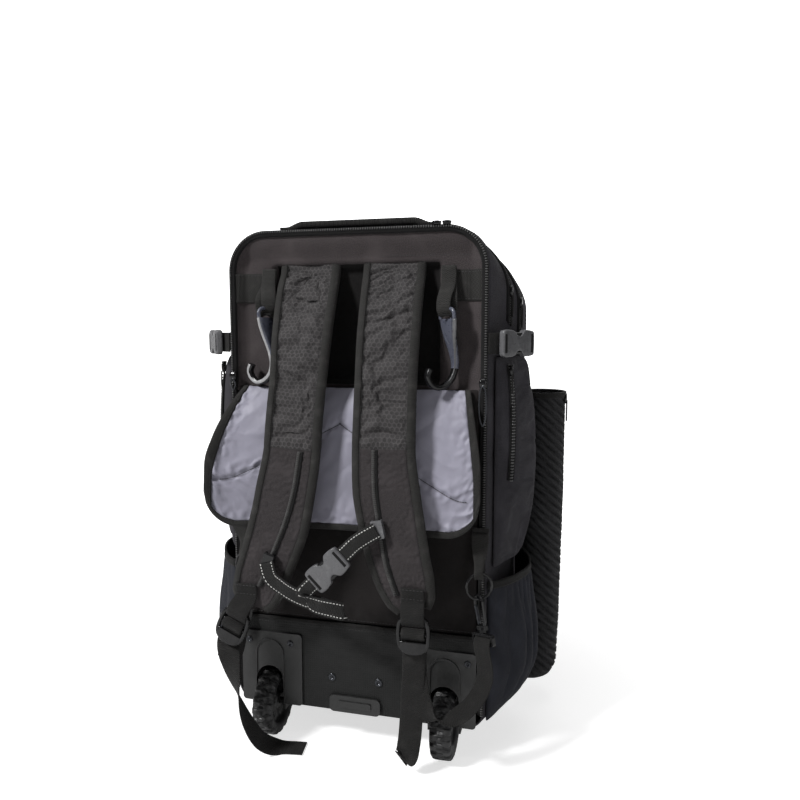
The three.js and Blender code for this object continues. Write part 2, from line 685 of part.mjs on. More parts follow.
// One length of webbing: from the snap hook, slack, up behind the lock, over its middle bar and
// down behind its lower bar into the free tail
const TAIL_ROUTES = {
  right: {
    slack: [
      vec(170, -26, 124), vec(158, -38, 98), vec(132, -50, 80), vec(105, -52, 84), vec(91, -46, 120),
    ],
    tail: [
      vec(88, -48, 140), vec(86, -49, 90), vec(83, -50, 45), vec(79, -52, 26), vec(73, -51, 23),
    ],
    end: ALONG_X,
  },
  left: {
    slack: [vec(-158, -26, 124), vec(-160, -36, 116), vec(-155, -44, 128)],
    tail: [
      vec(-146, -58, 122), vec(-134, -64, 84), vec(-122, -64, 50), vec(-108, -52, 18),
      vec(-92, -36, 3.4), vec(-74, -31, 1.8), vec(-60, -29, 1.8),
    ],
    end: ALONG_Y.clone().negate(),
  },
};

function strapWebbing(side) {
  const { slack, tail, end } = TAIL_ROUTES[side];
  const behind = [inLock(side, 0, -9, -22), inLock(side, 0, -6, 0.5), inLock(side, 0, 0, 6)];
  const over = [inLock(side, 0, 4.1, 2.5), inLock(side, 0, 4.1, -2.5), inLock(side, 0, 0, -6.4)];
  const under = [inLock(side, 0, -4.6, -16), inLock(side, 0, -4.4, -25)];
  const lead = [...eyePoints(side), ...slack, ...behind, ...over, ...under];
  const points = [...lead, ...tail];
  const curve = new THREE.CatmullRomCurve3(points, false, 'centripetal');
  const tailStart = (lead.length - 1) / (points.length - 1);
  const stations = spaced(2 * (points.length - 1)).map((t) => ({
    at: curve.getPoint(t),
    across: t < tailStart
      ? snapAcross(side).lerp(lockAcross(side), smoothstep(t, 0.27 * tailStart, 0.6 * tailStart))
      : lockAcross(side).lerp(end, smoothstep(t, tailStart, 0.86)),
    width: WEBBING.wide,
    thick: WEBBING.thick,
  }));
  return sweep(stations, FLAT);
}

// Rings, snap hooks and gates at the ends of the strap webbing

const RING_X = { left: -147, right: 160 };
const RING_SEAM = { x: 160, z: 300 }; // where the ring's webbing is sewn to the edge zip
const ringCentre = (side) => vec(RING_X[side], RING.y, RING.z);
const snapTurn = (side) => SIDES[side] * SNAP.turn;
const snapTilt = (side) => -SIDES[side] * SNAP.tilt;
const SNAP_SEAT = SNAP.wire / 2 + RING.wire + GAP;
const HOOK_TOP = 7;
const EYE = { z: -45, wide: 36, high: 14, slotWide: 29.5, slotHigh: 7, thick: 4.5 };
const GATE_HINGE = { x: -4.6, z: -26.6 };

// A point in a snap hook's own frame, whose origin is the middle of the hook's bend
function inSnap(side, x, y, z) {
  const seat = ringCentre(side).add(vec(0, 0, -RING.radius - HOOK_TOP + SNAP_SEAT));
  return vec(x, y, z)
    .applyAxisAngle(ALONG_Y, degToRad(snapTilt(side)))
    .applyAxisAngle(ALONG_Z, degToRad(snapTurn(side)))
    .add(seat);
}
const snapSeat = (side) => inSnap(side, 0, 0, 0);
const snapPlaced = (geometry, side) => placed(geometry, snapSeat(side), snapTurn(side), snapTilt(side));
const snapAcross = (side) => inSnap(side, 1, 0, 0).sub(snapSeat(side));

// Webbing folded through the snap hook's eye
function eyePoints(side) {
  return [
    inSnap(side, 0, 5, EYE.z - 9),
    inSnap(side, 0, 4.6, EYE.z - 4.4),
    inSnap(side, 0, 0, EYE.z + 2),
    inSnap(side, 0, -4.6, EYE.z - 4.4),
    inSnap(side, 0, -5, EYE.z - 10),
  ];
}

function snapHook() {
  const bend = spaced(6).map((t) => {
    const turn = Math.PI * t;
    return vec(HOOK_TOP * Math.cos(turn), 0, HOOK_TOP * Math.sin(turn));
  });
  const spine = [vec(3, 0, -31), vec(6.5, 0, -22), vec(HOOK_TOP, 0, -10), ...bend, vec(-HOOK_TOP, 0, -4.5)];
  const hook = sweep(
    spine.map((at) => ({ at, across: ALONG_Y, width: SNAP.wire, thick: SNAP.wire })),
    ROUND,
  );
  const heel = block(vec(-6.5, -3, -34), vec(6.5, 3, -28.8));
  const swivel = block(vec(-3, -2.6, -40), vec(3, 2.6, -33.5));
  const frame = roundedRect(EYE.wide, EYE.high, 3.5);
  frame.holes.push(slot(EYE.slotWide, EYE.slotHigh));
  const eye = plate(frame, -EYE.thick / 2, EYE.thick).translate(0, 0, EYE.z);
  return fused(hook, heel, swivel, eye);
}

// Sprung lever that closes the hook's mouth
function snapGate() {
  const rows = [
    { x: GATE_HINGE.x, z: GATE_HINGE.z - 1.5, thick: 1.6 },
    { x: GATE_HINGE.x - 0.2, z: GATE_HINGE.z + 2, thick: 3.2 },
    { x: -6.6, z: -8, thick: 3.2 },
    { x: -HOOK_TOP, z: -5, thick: 2.6 },
  ];
  const stations = rows.map(({ x, z, thick }) => ({ at: vec(x, 0, z), across: ALONG_Y, width: 4, thick }));
  return sweep(stations, FLAT);
}

function ringTab(side) {
  const centre = ringCentre(side);
  const top = vec(centre.x, centre.y, centre.z + RING.radius);
  const seam = vec(SIDES[side] * RING_SEAM.x, EDGE.front - GAP - WEBBING.thick / 2, RING_SEAM.z);
  const points = [
    seam,
    vec(centre.x, centre.y + 6, centre.z + 34),
    top.clone().add(vec(0, 5.6, 2)),
    top.clone().add(vec(0, 0, -6.6)),
    top.clone().add(vec(0, -5.6, 2)),
    vec(centre.x, centre.y + 1, centre.z + 36),
    seam.clone().add(vec(0, -2.8, -6)),
  ];
  return loopBand(points, SIDES[side] * RING.turn, { ends: WEBBING.narrow, middle: 11 });
}

for (const side of Object.keys(SIDES)) {
  piece(`shoulder_strap_${side}`, shoulderStrap(RAILS[side]), CLOTH);
  piece(`lock_tab_${side}`, lockTab(side), TAPE);
  piece(`ladder_lock_${side}`, placed(ladderLock(), LOCKS[side].at, 0, LOCKS[side].tilt), BLACK_PLASTIC);
  piece(`strap_webbing_${side}`, strapWebbing(side), TAPE);
  const ring = new THREE.TorusGeometry(RING.radius, RING.wire, 6, 16).rotateX(Math.PI / 2);
  piece(`side_ring_${side}`, placed(ring, ringCentre(side), SIDES[side] * RING.turn), GUNMETAL);
  piece(`ring_tab_${side}`, ringTab(side), TAPE);
  piece(`snap_hook_${side}`, snapPlaced(snapHook(), side), BLACK_PLASTIC);
  piece(`snap_gate_${side}`, snapPlaced(snapGate(), side), GUNMETAL);
}

// Sternum strap, fastened and hanging slack between the shoulder straps

const SLIDER = { length: 22, wide: 14, thick: 7 };
const SLIDERS = { right: { z: 306, lean: -12 }, left: { z: 256, lean: 18 } };
const BUCKLE = { length: 52, thick: 8 };
const BUCKLE_EDGE = [
  { along: -26, half: 13.5 },
  { along: -23, half: 16.5 },
  { along: -4, half: 16.5 },
  { along: 2, half: 11.5 },
  { along: 8, half: 16.5 },
  { along: 26, half: 14.5 },
];
const STERNUM_BUCKLE = { at: vec(-10, -72, 257), tilt: -45 };
const STERNUM_SLACK = {
  right: [vec(36, -68, 299), vec(22, -70, 289)],
  left: [
    vec(-86, -65.5, 238), vec(-74, -65.5, 229), vec(-55, -67, 220), vec(-25, -66, 211), vec(2, -66, 206),
    vec(9, -71, 207), vec(-2, -77, 211), vec(-28, -79, 217), vec(-39, -75, 226),
  ],
};

// Place of a slider on its rail
function sliderAt(side) {
  const { rows, offsets, heights } = RAILS[side];
  const { z } = SLIDERS[side];
  const rail = rowAt(heights.map((height, i) => ({ height, offset: offsets[i] })), 'height', z);
  const row = rowAt(rows, 'z', z);
  return vec(row.x + rail.offset, row.y - STRAP_THICK / 2 - 1, z);
}

function sternumSlider(side) {
  const reach = RAIL_WIDE / 2 + 1.4;
  const [half, long] = [SLIDER.wide / 2, SLIDER.length / 2];
  const body = block(vec(-half, -SLIDER.thick, -long), vec(half, 0, long));
  const groove = block(vec(-reach, -reach, -2 * long), vec(reach, SLIDER.thick, 2 * long));
  return placed(cut(body, groove), sliderAt(side), 0, SLIDERS[side].lean);
}

function buckle() {
  const lower = BUCKLE_EDGE.map(({ along, half }) => new THREE.Vector2(along, -half));
  const upper = BUCKLE_EDGE.map(({ along, half }) => new THREE.Vector2(along, half)).reverse();
  return plate(new THREE.Shape([...lower, ...upper]), -BUCKLE.thick / 2, BUCKLE.thick);
}

// A point on the sternum buckle's middle line, where a share of one is just past its end
function buckleEnd(share) {
  const { at, tilt } = STERNUM_BUCKLE;
  const along = share * (BUCKLE.length / 2 + 2 * GAP);
  return vec(along, 0, 0).applyAxisAngle(ALONG_Y, degToRad(tilt)).add(at);
}

function sternumWebbing(side) {
  const start = sliderAt(side).add(vec(0, -SLIDER.thick - 2, 0));
  const upright = ALONG_Z.clone().applyAxisAngle(ALONG_Y, degToRad(STERNUM_BUCKLE.tilt));
  const end = SIDES[side];
  const points = [start, ...STERNUM_SLACK[side], buckleEnd(1.25 * end), buckleEnd(end)];
  return webbing(points, 2 * (points.length - 1), { from: ALONG_Z, to: upright, width: WEBBING.narrow });
}

for (const side of Object.keys(SIDES)) {
  piece(`sternum_slider_${side}`, sternumSlider(side), GREY_PLASTIC);
  piece(`sternum_webbing_${side}`, sternumWebbing(side), TAPE);
}
piece('sternum_buckle', placed(buckle(), STERNUM_BUCKLE.at, 0, STERNUM_BUCKLE.tilt), GREY_PLASTIC);

// Fence hooks on their webbing loops, over the bands of the bay wall

const HOOK_BAND = { low: 571, high: 608, thick: 1.2 };

function fenceHook() {
  const stations = HOOK_ROWS.map(({ lean, z, wide, thick }) => ({
    at: vec(0, lean, z),
    across: ALONG_X,
    width: wide,
    thick,
  }));
  const opening = block(
    vec(-HOOK.slotWide / 2, -10, -HOOK.slotTop - HOOK.slot),
    vec(HOOK.slotWide / 2, 10, -HOOK.slotTop),
  );
  return cut(sweep(stations, PADDED), opening);
}

const hookBar = (side) => vec(HOOKS[side].x, HOOK.y, HOOKS[side].top);

// The webbing may turn the shorter way, because both its faces are alike
function hookWebbing(side) {
  const { x } = HOOKS[side];
  const turn = HOOKS[side].turn < -90 ? HOOKS[side].turn + 180 : HOOKS[side].turn;
  const bar = hookBar(side);
  const turned = (y, z) => vec(0, y, z).applyAxisAngle(ALONG_Z, degToRad(turn)).add(bar);
  const points = [
    vec(x, 7, 611), vec(x, 5, 596), turned(4.6, 9), turned(4.6, -3.4), turned(0, -HOOK.slotTop - 5.4),
    turned(-4.6, -3.4), turned(-4.6, 9), vec(x, 0.5, 592), vec(x, 3.8, 613),
  ];
  return loopBand(points, turn, { ends: 18, middle: 18 });
}

function hookBand(side) {
  const inner = RECESS.half + RECESS.slope + 1;
  const outer = BODY[0].half - 4;
  const back = BAY_WALL.y - GAP;
  const band = block(vec(inner, back - HOOK_BAND.thick, HOOK_BAND.low), vec(outer, back, HOOK_BAND.high));
  return mirrored(band, SIDES[side]);
}

for (const side of Object.keys(SIDES)) {
  piece(`fence_hook_${side}`, placed(fenceHook(), hookBar(side), HOOKS[side].turn), HOOK_PLASTIC);
  piece(`hook_webbing_${side}`, hookWebbing(side), TAPE);
  piece(`hook_band_${side}`, hookBand(side), TAPE);
}

// Side pockets, bottle pockets, compression straps and bat sleeves

const LIFT = { pocket: 1.2, bottle: 0.5 }; // clearance of a pocket's rim from the body's side

function pocketSurface(u, v) {
  const y = lerp(POCKET.rear, POCKET.front, u);
  const z = lerp(POCKET.bottom, POCKET.top, v);
  return vec(sideAt(y, z) + LIFT.pocket + POCKET.out * pulse(u ** 0.75, 0.7) * pulse(v, 0.45), y, z);
}
const POCKET_US = [0, POCKET_ZIP.from, POCKET_ZIP.to, 0.3, 0.48, 0.66, 0.84, 0.95, 1];
const POCKET_VS = [0, 0.06, 0.2, POCKET_ZIP.low, 0.6, 0.74, 0.86, POCKET_ZIP.high, 1];

function sidePocketZip() {
  const us = [POCKET_ZIP.from, POCKET_ZIP.to];
  const vs = POCKET_VS.filter((v) => v >= POCKET_ZIP.low && v <= POCKET_ZIP.high);
  return sheet(pocketSurface, us, vs, POCKET_ZIP.thick, POCKET.wall + 2.5 * GAP);
}

function bottleSurface(u, v) {
  const y = lerp(BOTTLE.rear, BOTTLE.front, u);
  const z = lerp(BOTTLE.bottom, lerp(BOTTLE.hemRear, BOTTLE.hemFront, u), v);
  const wave = Math.cos(2 * Math.PI * BOTTLE_PLEATS.count * u);
  const pleat = BOTTLE_PLEATS.deep * wave * smoothstep(v, 0.1, 0.4);
  const out = rowAt(BOTTLE_BULGE, 'share', v).out * pulse(u, 0.6) + pleat * pulse(u, 0.8);
  return vec(sideAt(y, Math.max(z, BOTTLE.straight)) + LIFT.bottle + out, y, z);
}
const BOTTLE_US = spaced(15);
const BOTTLE_VS = BOTTLE_BULGE.map((row) => row.share);

function bottleHem() {
  const rim = (u, v) => bottleSurface(u, 1).add(vec(0, 0, 2 * GAP + v * HEM.height));
  return sheet(rim, spaced(10), [0, 1], HEM.thick);
}

const COMPRESSION = { z: 521, wide: 25 };
const BUCKLE_RUN = { from: vec(180, 9, COMPRESSION.z), to: vec(205, 39, COMPRESSION.z) };
const COMPRESSION_PATH = [
  vec(166.4, -1, COMPRESSION.z),
  BUCKLE_RUN.from,
  BUCKLE_RUN.to,
  vec(208, 54, COMPRESSION.z),
  vec(207, 82, COMPRESSION.z),
  vec(203.6, 130, COMPRESSION.z),
  vec(199.9, 172, COMPRESSION.z),
];

const compressionWebbing = () => webbing(COMPRESSION_PATH, 14, { from: ALONG_Z, width: COMPRESSION.wide });

function compressionBuckle() {
  const { from, to } = BUCKLE_RUN;
  const run = to.clone().sub(from).normalize();
  const stand = BUCKLE.thick / 2 + WEBBING.thick / 2 + 5 * GAP;
  const middle = from.clone().lerp(to, 0.5).addScaledVector(run.clone().cross(ALONG_Z), stand);
  return placed(buckle(), middle, THREE.MathUtils.radToDeg(Math.atan2(run.y, run.x)));
}

function sleeveRing({ z, rx, ry }, inset) {
  return spaced(SLEEVE.points).slice(1).map((t) => {
    const turn = Math.PI * (2 * t + 1);
    const out = SLEEVE.inner + rx + (rx - inset) * Math.cos(turn);
    return vec(out, SLEEVE.y + (ry - inset) * Math.sin(turn), z);
  });
}

function batSleeve() {
  const closing = { z: SLEEVE_ROWS.at(-1).z + SLEEVE.wall };
  return cup(SLEEVE_ROWS, sleeveRing, SLEEVE.wall, closing);
}

for (const [side, sign] of Object.entries(SIDES)) {
  const pocket = sheet(pocketSurface, POCKET_US, POCKET_VS, POCKET.wall);
  const pouch = sheet(bottleSurface, BOTTLE_US, BOTTLE_VS, BOTTLE.wall);
  piece(`side_pocket_${side}`, mirrored(pocket, sign), SIDE_CLOTH);
  piece(`side_pocket_zip_${side}`, mirrored(sidePocketZip(), sign), TAPE);
  piece(`bottle_pocket_${side}`, mirrored(pouch, sign), STRETCH);
  piece(`bottle_hem_${side}`, mirrored(bottleHem(), sign), TAPE);
  piece(`compression_webbing_${side}`, mirrored(compressionWebbing(), sign), TAPE);
  piece(`compression_buckle_${side}`, mirrored(compressionBuckle(), sign), GREY_PLASTIC);
  piece(`bat_sleeve_${side}`, mirrored(batSleeve(), sign), STRETCH);
}

// Wheels and base

function archShape(half, spring, bottom) {
  const arch = new THREE.Shape();
  arch.moveTo(-half, bottom);
  arch.lineTo(half, bottom);
  arch.absarc(0, spring, half, 0, Math.PI);
  arch.closePath();
  return arch;
}

// Arch-shaped channel, open below
function archChannel(half, wall, spring, bottom, rear, depth) {
  const outer = plate(archShape(half + wall, spring, bottom), rear, depth, 5);
  const inner = plate(archShape(half, spring, bottom - 5), rear - 5, depth + 10, 5);
  return cut(outer, inner);
}

// Moulded plate with the wheel's well behind it and its axle across
function wheelHousing() {
  const { half, wall, spring, bottom, front, back } = WELL;
  const { low, high } = HOUSING;
  const [inner, outer] = [HOUSING.inner - WHEEL.x, PANEL_HALF - WHEEL.x];
  const cover = roundedRect(outer - inner, high - low, 5, (inner + outer) / 2, (low + high) / 2);
  const window = plate(archShape(half + wall / 2, spring, low - 14), front - 10, 30, 5);
  const face = cut(plate(cover, front, HOUSING.thick), window);
  const channel = archChannel(half, wall, spring, bottom, front, back - front);
  const rim = archChannel(half - 1, wall, HOUSING.rimSpring, low, front - 1.6, 2);
  const rimWindow = plate(archShape(half, spring, low - 14), front - 10, 30, 5);
  const end = plate(archShape(half + wall / 2, spring, bottom), back - wall, wall, 5);
  const axle = new THREE.CylinderGeometry(WHEEL.axle, WHEEL.axle, 2 * half + wall, 12)
    .rotateZ(Math.PI / 2)
    .translate(0, WHEEL.y, WHEEL.radius);
  return fused(face, channel, cut(rim, rimWindow), end, axle);
}

// Half profile of the wheel from bore to tread: distance from the middle plane, and radius
const WHEEL_PROFILE = [
  { out: 9, radius: WHEEL.bore },
  { out: 9, radius: 9 },
  { out: 5, radius: 12 },
  { out: 5, radius: 26 },
  { out: 12, radius: 29 },
  { out: WHEEL.width / 2, radius: 37 },
  { out: 10, radius: WHEEL.radius },
];

function wheel() {
  const farHalf = WHEEL_PROFILE.map(({ out, radius }) => ({ out: -out, radius })).reverse();
  const loop = [...WHEEL_PROFILE, ...farHalf];
  const rings = spaced(WHEEL.steps).slice(1).map((t) => loop.map(({ out, radius }) => vec(
    out,
    radius * Math.cos(2 * Math.PI * t),
    radius * Math.sin(2 * Math.PI * t),
  )));
  return loft(rings, true).translate(0, WHEEL.y, WHEEL.radius);
}

function baseHandle() {
  const frame = roundedRect(BASE_HANDLE.wide, BASE_HANDLE.high, 6, 0, BASE_HANDLE.z);
  const boss = roundedRect(BASE_BOSS.wide, BASE_BOSS.high, 2.5, 0, BASE_HANDLE.z);
  return fused(
    plate(frame, BASE_HANDLE.front, BASE_HANDLE.thick),
    plate(boss, BASE_BOSS.front, BASE_BOSS.thick),
  );
}

// Bar with sloping ends that carries the front of the bag
function frontSkid() {
  const foot = new THREE.Shape([
    new THREE.Vector2(-SKID.half + SKID.inset, 0),
    new THREE.Vector2(SKID.half - SKID.inset, 0),
    new THREE.Vector2(SKID.half, SKID.height),
    new THREE.Vector2(-SKID.half, SKID.height),
  ]);
  return plate(foot, SKID.rear, SKID.front - SKID.rear);
}

for (const [side, sign] of Object.entries(SIDES)) {
  piece(`wheel_housing_${side}`, mirrored(wheelHousing().translate(WHEEL.x, 0, 0), sign), MOULDED);
  piece(`wheel_${side}`, mirrored(wheel().translate(WHEEL.x, 0, 0), sign), TYRE);
}
piece('base_handle', baseHandle(), MOULDED);
piece('front_skid', frontSkid(), MOULDED);

// Origin at the middle of the footprint
const middle = new THREE.Box3().setFromObject(bag).getCenter(vec());
bag.position.set(-middle.x, -middle.y, 0);

export default bag;
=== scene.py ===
"""Looks of the wheeled catcher bag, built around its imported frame.

Blender works in metres. The tables here are in millimetres in the bag's own frame: X to the right
seen from the strap side, Y from the plane of the back panel into the bag, Z up from the floor.
"""

import math

import bpy
import numpy as np
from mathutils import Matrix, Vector


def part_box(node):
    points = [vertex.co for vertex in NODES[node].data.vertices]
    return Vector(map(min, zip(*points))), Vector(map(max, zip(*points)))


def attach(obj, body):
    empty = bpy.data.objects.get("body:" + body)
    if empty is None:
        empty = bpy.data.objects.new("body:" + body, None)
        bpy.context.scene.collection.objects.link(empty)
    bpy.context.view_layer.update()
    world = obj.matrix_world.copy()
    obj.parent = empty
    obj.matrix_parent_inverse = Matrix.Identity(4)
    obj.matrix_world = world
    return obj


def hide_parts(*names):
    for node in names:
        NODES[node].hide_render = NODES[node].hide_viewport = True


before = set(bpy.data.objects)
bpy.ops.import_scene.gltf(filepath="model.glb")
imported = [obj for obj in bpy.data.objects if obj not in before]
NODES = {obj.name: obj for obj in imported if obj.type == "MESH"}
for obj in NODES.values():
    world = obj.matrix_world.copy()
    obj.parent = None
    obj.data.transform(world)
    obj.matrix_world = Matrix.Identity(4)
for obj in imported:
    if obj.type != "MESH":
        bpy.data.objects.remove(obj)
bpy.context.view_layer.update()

SCENE = bpy.context.scene
SIDES = {"left": -1, "right": 1}
MM = 0.001
X_AXIS, Y_AXIS, Z_AXIS = np.eye(3)

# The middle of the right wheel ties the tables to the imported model
AXLE = {"x": 117.0, "y": 5.0, "z": 43.0}
low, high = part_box("wheel_right")
SHIFT = np.array((low + high) / 2) - MM * np.array(list(AXLE.values()))


def placed(points):
    """Points of the tables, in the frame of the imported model."""
    return np.asarray(points, float) * MM + SHIFT


# Materials

def feed(tree, socket, value):
    """Links a node's output to a socket, or sets the socket to a fixed value."""
    if isinstance(value, bpy.types.NodeSocket):
        tree.links.new(value, socket)
    else:
        socket.default_value = value


def add_node(tree, kind, inputs, output=0, **settings):
    """Adds a node, feeds its inputs and returns one of its outputs."""
    node = tree.nodes.new(f"ShaderNode{kind}")
    for key, value in settings.items():
        setattr(node, key, value)
    for socket, value in inputs.items():
        feed(tree, node.inputs[socket], value)
    return node.outputs[output]


def opaque(colour):
    return (*colour, 1.0) if isinstance(colour, tuple) else colour


def scaled(colour, by):
    return tuple(channel * by for channel in colour)


class Paint:
    """A Principled material, with short ways to add the nodes that vary over its surface."""

    def __init__(self, name, colour, roughness, **fixed):
        self.material = bpy.data.materials.new(name)
        self.material.use_nodes = True
        self.material.diffuse_color = opaque(colour)
        self.tree = self.material.node_tree
        self.shader = self.tree.nodes["Principled BSDF"]
        self.set("Base Color", opaque(colour))
        self.set("Roughness", roughness)
        for key, value in fixed.items():
            self.set(key.replace("_", " "), value)

    def set(self, socket, value):
        feed(self.tree, self.shader.inputs[socket], value)

    def source(self, socket):
        """The output that is linked to one of the shader's sockets."""
        return self.shader.inputs[socket].links[0].from_socket

    def add(self, kind, inputs, output=0, **settings):
        return add_node(self.tree, kind, inputs, output, **settings)

    def math(self, operation, first, second=0.0):
        return self.add("Math", {0: first, 1: second}, operation=operation)

    def vector(self, operation, first, *others, output=0):
        return self.add("VectorMath", dict(enumerate((first, *others))), output, operation=operation)

    def cloth(self):
        """Millimetres across and along a cloth piece."""
        return self.add("UVMap", {}, uv_map="cloth")

    def solid(self):
        """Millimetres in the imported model's frame."""
        place = self.add("TexCoord", {}, "Object")
        return self.add("VectorMath", {0: place, "Scale": 1 / MM}, operation="SCALE")

    def parts(self, vector):
        return tuple(self.add("SeparateXYZ", {0: vector}).node.outputs)

    def noise(self, vector, scale, detail=2.0, stretch=None):
        if stretch:
            vector = self.vector("MULTIPLY", vector, stretch)
        return self.add("TexNoise", {"Vector": vector, "Scale": scale, "Detail": detail}, "Fac")

    def wave(self, value, pitch):
        """A sine of the value, from -1 to 1."""
        return self.math("SINE", self.math("MULTIPLY", value, 2 * math.pi / pitch))

    def between(self, value, low, high, to_low=0.0, to_high=1.0):
        """The value's smooth way from low to high, as a way between two other numbers."""
        inputs = {"Value": value, "From Min": low, "From Max": high, "To Min": to_low, "To Max": to_high}
        return self.add("MapRange", inputs, interpolation_type="SMOOTHSTEP")

    def mix(self, share, first, second):
        return self.add("Mix", {0: share, 6: opaque(first), 7: opaque(second)}, 2, data_type="RGBA")

    def shades(self, share, colour, low, high):
        """The colour, darker or lighter by the share."""
        return self.mix(share, scaled(colour, low), scaled(colour, high))

    def bump(self, height, distance, strength, under=None):
        inputs = {"Height": height, "Distance": distance * MM, "Strength": strength}
        if under:
            inputs["Normal"] = under
        return self.add("Bump", inputs, "Normal")


def cloth_paint(name, colour, roughness=0.9, pitch=1.1, mapped=True):
    """Woven cloth: threads over and under one another, slubs, mottling and uneven wear."""
    paint = Paint(name, colour, roughness, Sheen_Weight=0.03, Specular_IOR_Level=0.15)
    place = paint.cloth() if mapped else paint.solid()
    x, y, z = paint.parts(place)
    along = y if mapped else z
    across = x if mapped else paint.math("ADD", x, y)
    threads = paint.math("MULTIPLY", paint.wave(across, pitch), paint.wave(along, pitch))
    slubs = paint.noise(place, 0.5, 2.0, (0.25, 1.6, 0.25))
    wear = paint.noise(place, 0.018, 4.0)
    grain = paint.between(paint.noise(place, 0.75, 3.0), 0.3, 0.7)
    low, high = (paint.shades(grain, colour, 0.72 * by, 1.22 * by) for by in (0.8, 1.25))
    woven = paint.mix(paint.between(threads, -1.0, 1.0), low, high)
    paint.set("Base Color", paint.mix(paint.between(wear, 0.45, 0.72), woven, scaled(colour, 1.44)))
    paint.set("Roughness", paint.between(wear, 0.3, 0.7, roughness - 0.06, min(1.0, roughness + 0.05)))
    paint.set("Normal", paint.bump(threads, 0.16, 0.8, paint.bump(slubs, 0.5, 0.5)))
    return paint


def hex_paint(name, colour, pitch=5.4):
    """Ripstop with a raised six-sided lattice."""
    paint = cloth_paint(name, colour, 0.78)
    tall = math.sqrt(3.0) / 2
    corner = (0.5, tall, 1.0)
    slant = (0.5, tall, 0.0)
    place = paint.vector("MULTIPLY", paint.cloth(), (1.0 / pitch,) * 3)
    near = []
    for offset in ((0.0, 0.0, 0.0), slant):
        moved = paint.vector("ADD", place, offset)
        folded = paint.vector("ABSOLUTE", paint.vector("WRAP", moved, corner, scaled(corner, -1)))
        slanted = paint.vector("DOT_PRODUCT", folded, slant, output="Value")
        near.append(paint.math("MAXIMUM", slanted, paint.parts(folded)[0]))
    edge = paint.between(paint.math("MINIMUM", *near), 0.36, 0.48)
    flecks = paint.between(paint.noise(paint.cloth(), 1.4, 3.0), 0.42, 0.62)
    cells = paint.mix(flecks, paint.source("Base Color"), scaled(colour, 0.55))
    paint.set("Base Color", paint.mix(edge, cells, paint.shades(flecks, colour, 1.75, 1.1)))
    paint.set("Normal", paint.bump(edge, 0.5, 0.7, paint.source("Normal")))
    paint.set("Roughness", paint.between(edge, 0.0, 1.0, 0.82, 0.6))
    return paint


def webbing_paint(name, colour, dashes=None):
    """Ribbed webbing, and if asked rows of bright dashes at their offsets."""
    paint = Paint(name, colour, 0.82, Sheen_Weight=0.03, Specular_IOR_Level=0.2)
    across, along, _ = paint.parts(paint.cloth())
    slant = paint.math("ADD", along, paint.math("MULTIPLY", paint.wave(across, 5.0), 0.9))
    height = paint.math("ADD", paint.wave(along, 1.7), paint.wave(slant, 2.4))
    wear = paint.noise(paint.cloth(), 0.05, 3.0)
    shade = paint.shades(paint.between(height, -1.6, 1.8), colour, 0.6, 1.5)
    shade = paint.mix(paint.between(wear, 0.5, 0.75), shade, scaled(colour, 1.9))
    for offset in dashes["offsets"] if dashes else ():
        far = paint.math("ABSOLUTE", paint.math("SUBTRACT", across, offset))
        row = paint.between(far, dashes["half"], dashes["half"] + 0.25, 1.0, 0.0)
        broken = paint.between(paint.wave(along, dashes["pitch"]), -0.25, 0.05)
        shade = paint.mix(paint.math("MULTIPLY", row, broken), shade, dashes["colour"])
    paint.set("Base Color", shade)
    paint.set("Normal", paint.bump(height, 0.22, 0.8))
    return paint


def lining_paint(name, colour):
    """Thin satin lining with fine twill lines and soft crumple."""
    paint = Paint(name, colour, 0.55, Sheen_Weight=0.1, Sheen_Roughness=0.3, Specular_IOR_Level=0.3)
    place = paint.cloth()
    across, along, _ = paint.parts(place)
    twill = paint.wave(paint.math("ADD", across, along), 1.3)
    crumple = paint.noise(place, 0.035, 3.0, (1.0, 0.6, 1.0))
    shade = paint.shades(paint.between(paint.noise(place, 0.012), 0.3, 0.7), colour, 0.8, 1.12)
    paint.set("Base Color", paint.mix(paint.between(twill, -1.0, 1.0), scaled(colour, 0.85), shade))
    paint.set("Roughness", paint.between(crumple, 0.3, 0.7, 0.48, 0.62))
    paint.set("Normal", paint.bump(twill, 0.06, 0.5, paint.bump(crumple, 4.0, 0.5)))
    return paint


def grid_paint(name, colour):
    """Rubberised base cloth with a fine pressed grid."""
    paint = Paint(name, colour, 0.62, Specular_IOR_Level=0.25)
    place = paint.solid()
    x, _, z = paint.parts(place)
    pressed = paint.math("MAXIMUM", paint.wave(x, 3.0), paint.wave(z, 3.0))
    scuffs = paint.noise(place, 0.03, 5.0, (1.0, 1.0, 2.5))
    shade = paint.shades(paint.between(pressed, 0.5, 1.0), colour, 0.85, 1.25)
    paint.set("Base Color", paint.mix(paint.between(scuffs, 0.55, 0.75), shade, scaled(colour, 1.7)))
    paint.set("Roughness", paint.between(scuffs, 0.35, 0.7, 0.5, 0.72))
    paint.set("Normal", paint.bump(pressed, 0.15, 0.7))
    return paint


def moulded_paint(name, colour, roughness, grain=0.12, wear=0.5, **fixed):
    """Moulded plastic or coated metal: fine grain, handling marks and rubbed patches."""
    paint = Paint(name, colour, roughness, **fixed)
    place = paint.solid()
    fine = paint.noise(place, 2.2, 3.0)
    marks = paint.noise(place, 0.09, 5.0)
    shade = paint.shades(fine, colour, 0.9, 1.1)
    paint.set("Base Color", paint.mix(paint.between(marks, 0.56, 0.74), shade, scaled(colour, 1.0 + wear)))
    smooth, rough = max(0.05, roughness - 0.08), min(1.0, roughness + 0.1)
    paint.set("Roughness", paint.between(marks, 0.3, 0.7, smooth, rough))
    paint.set("Normal", paint.bump(fine, grain, 0.6))
    return paint


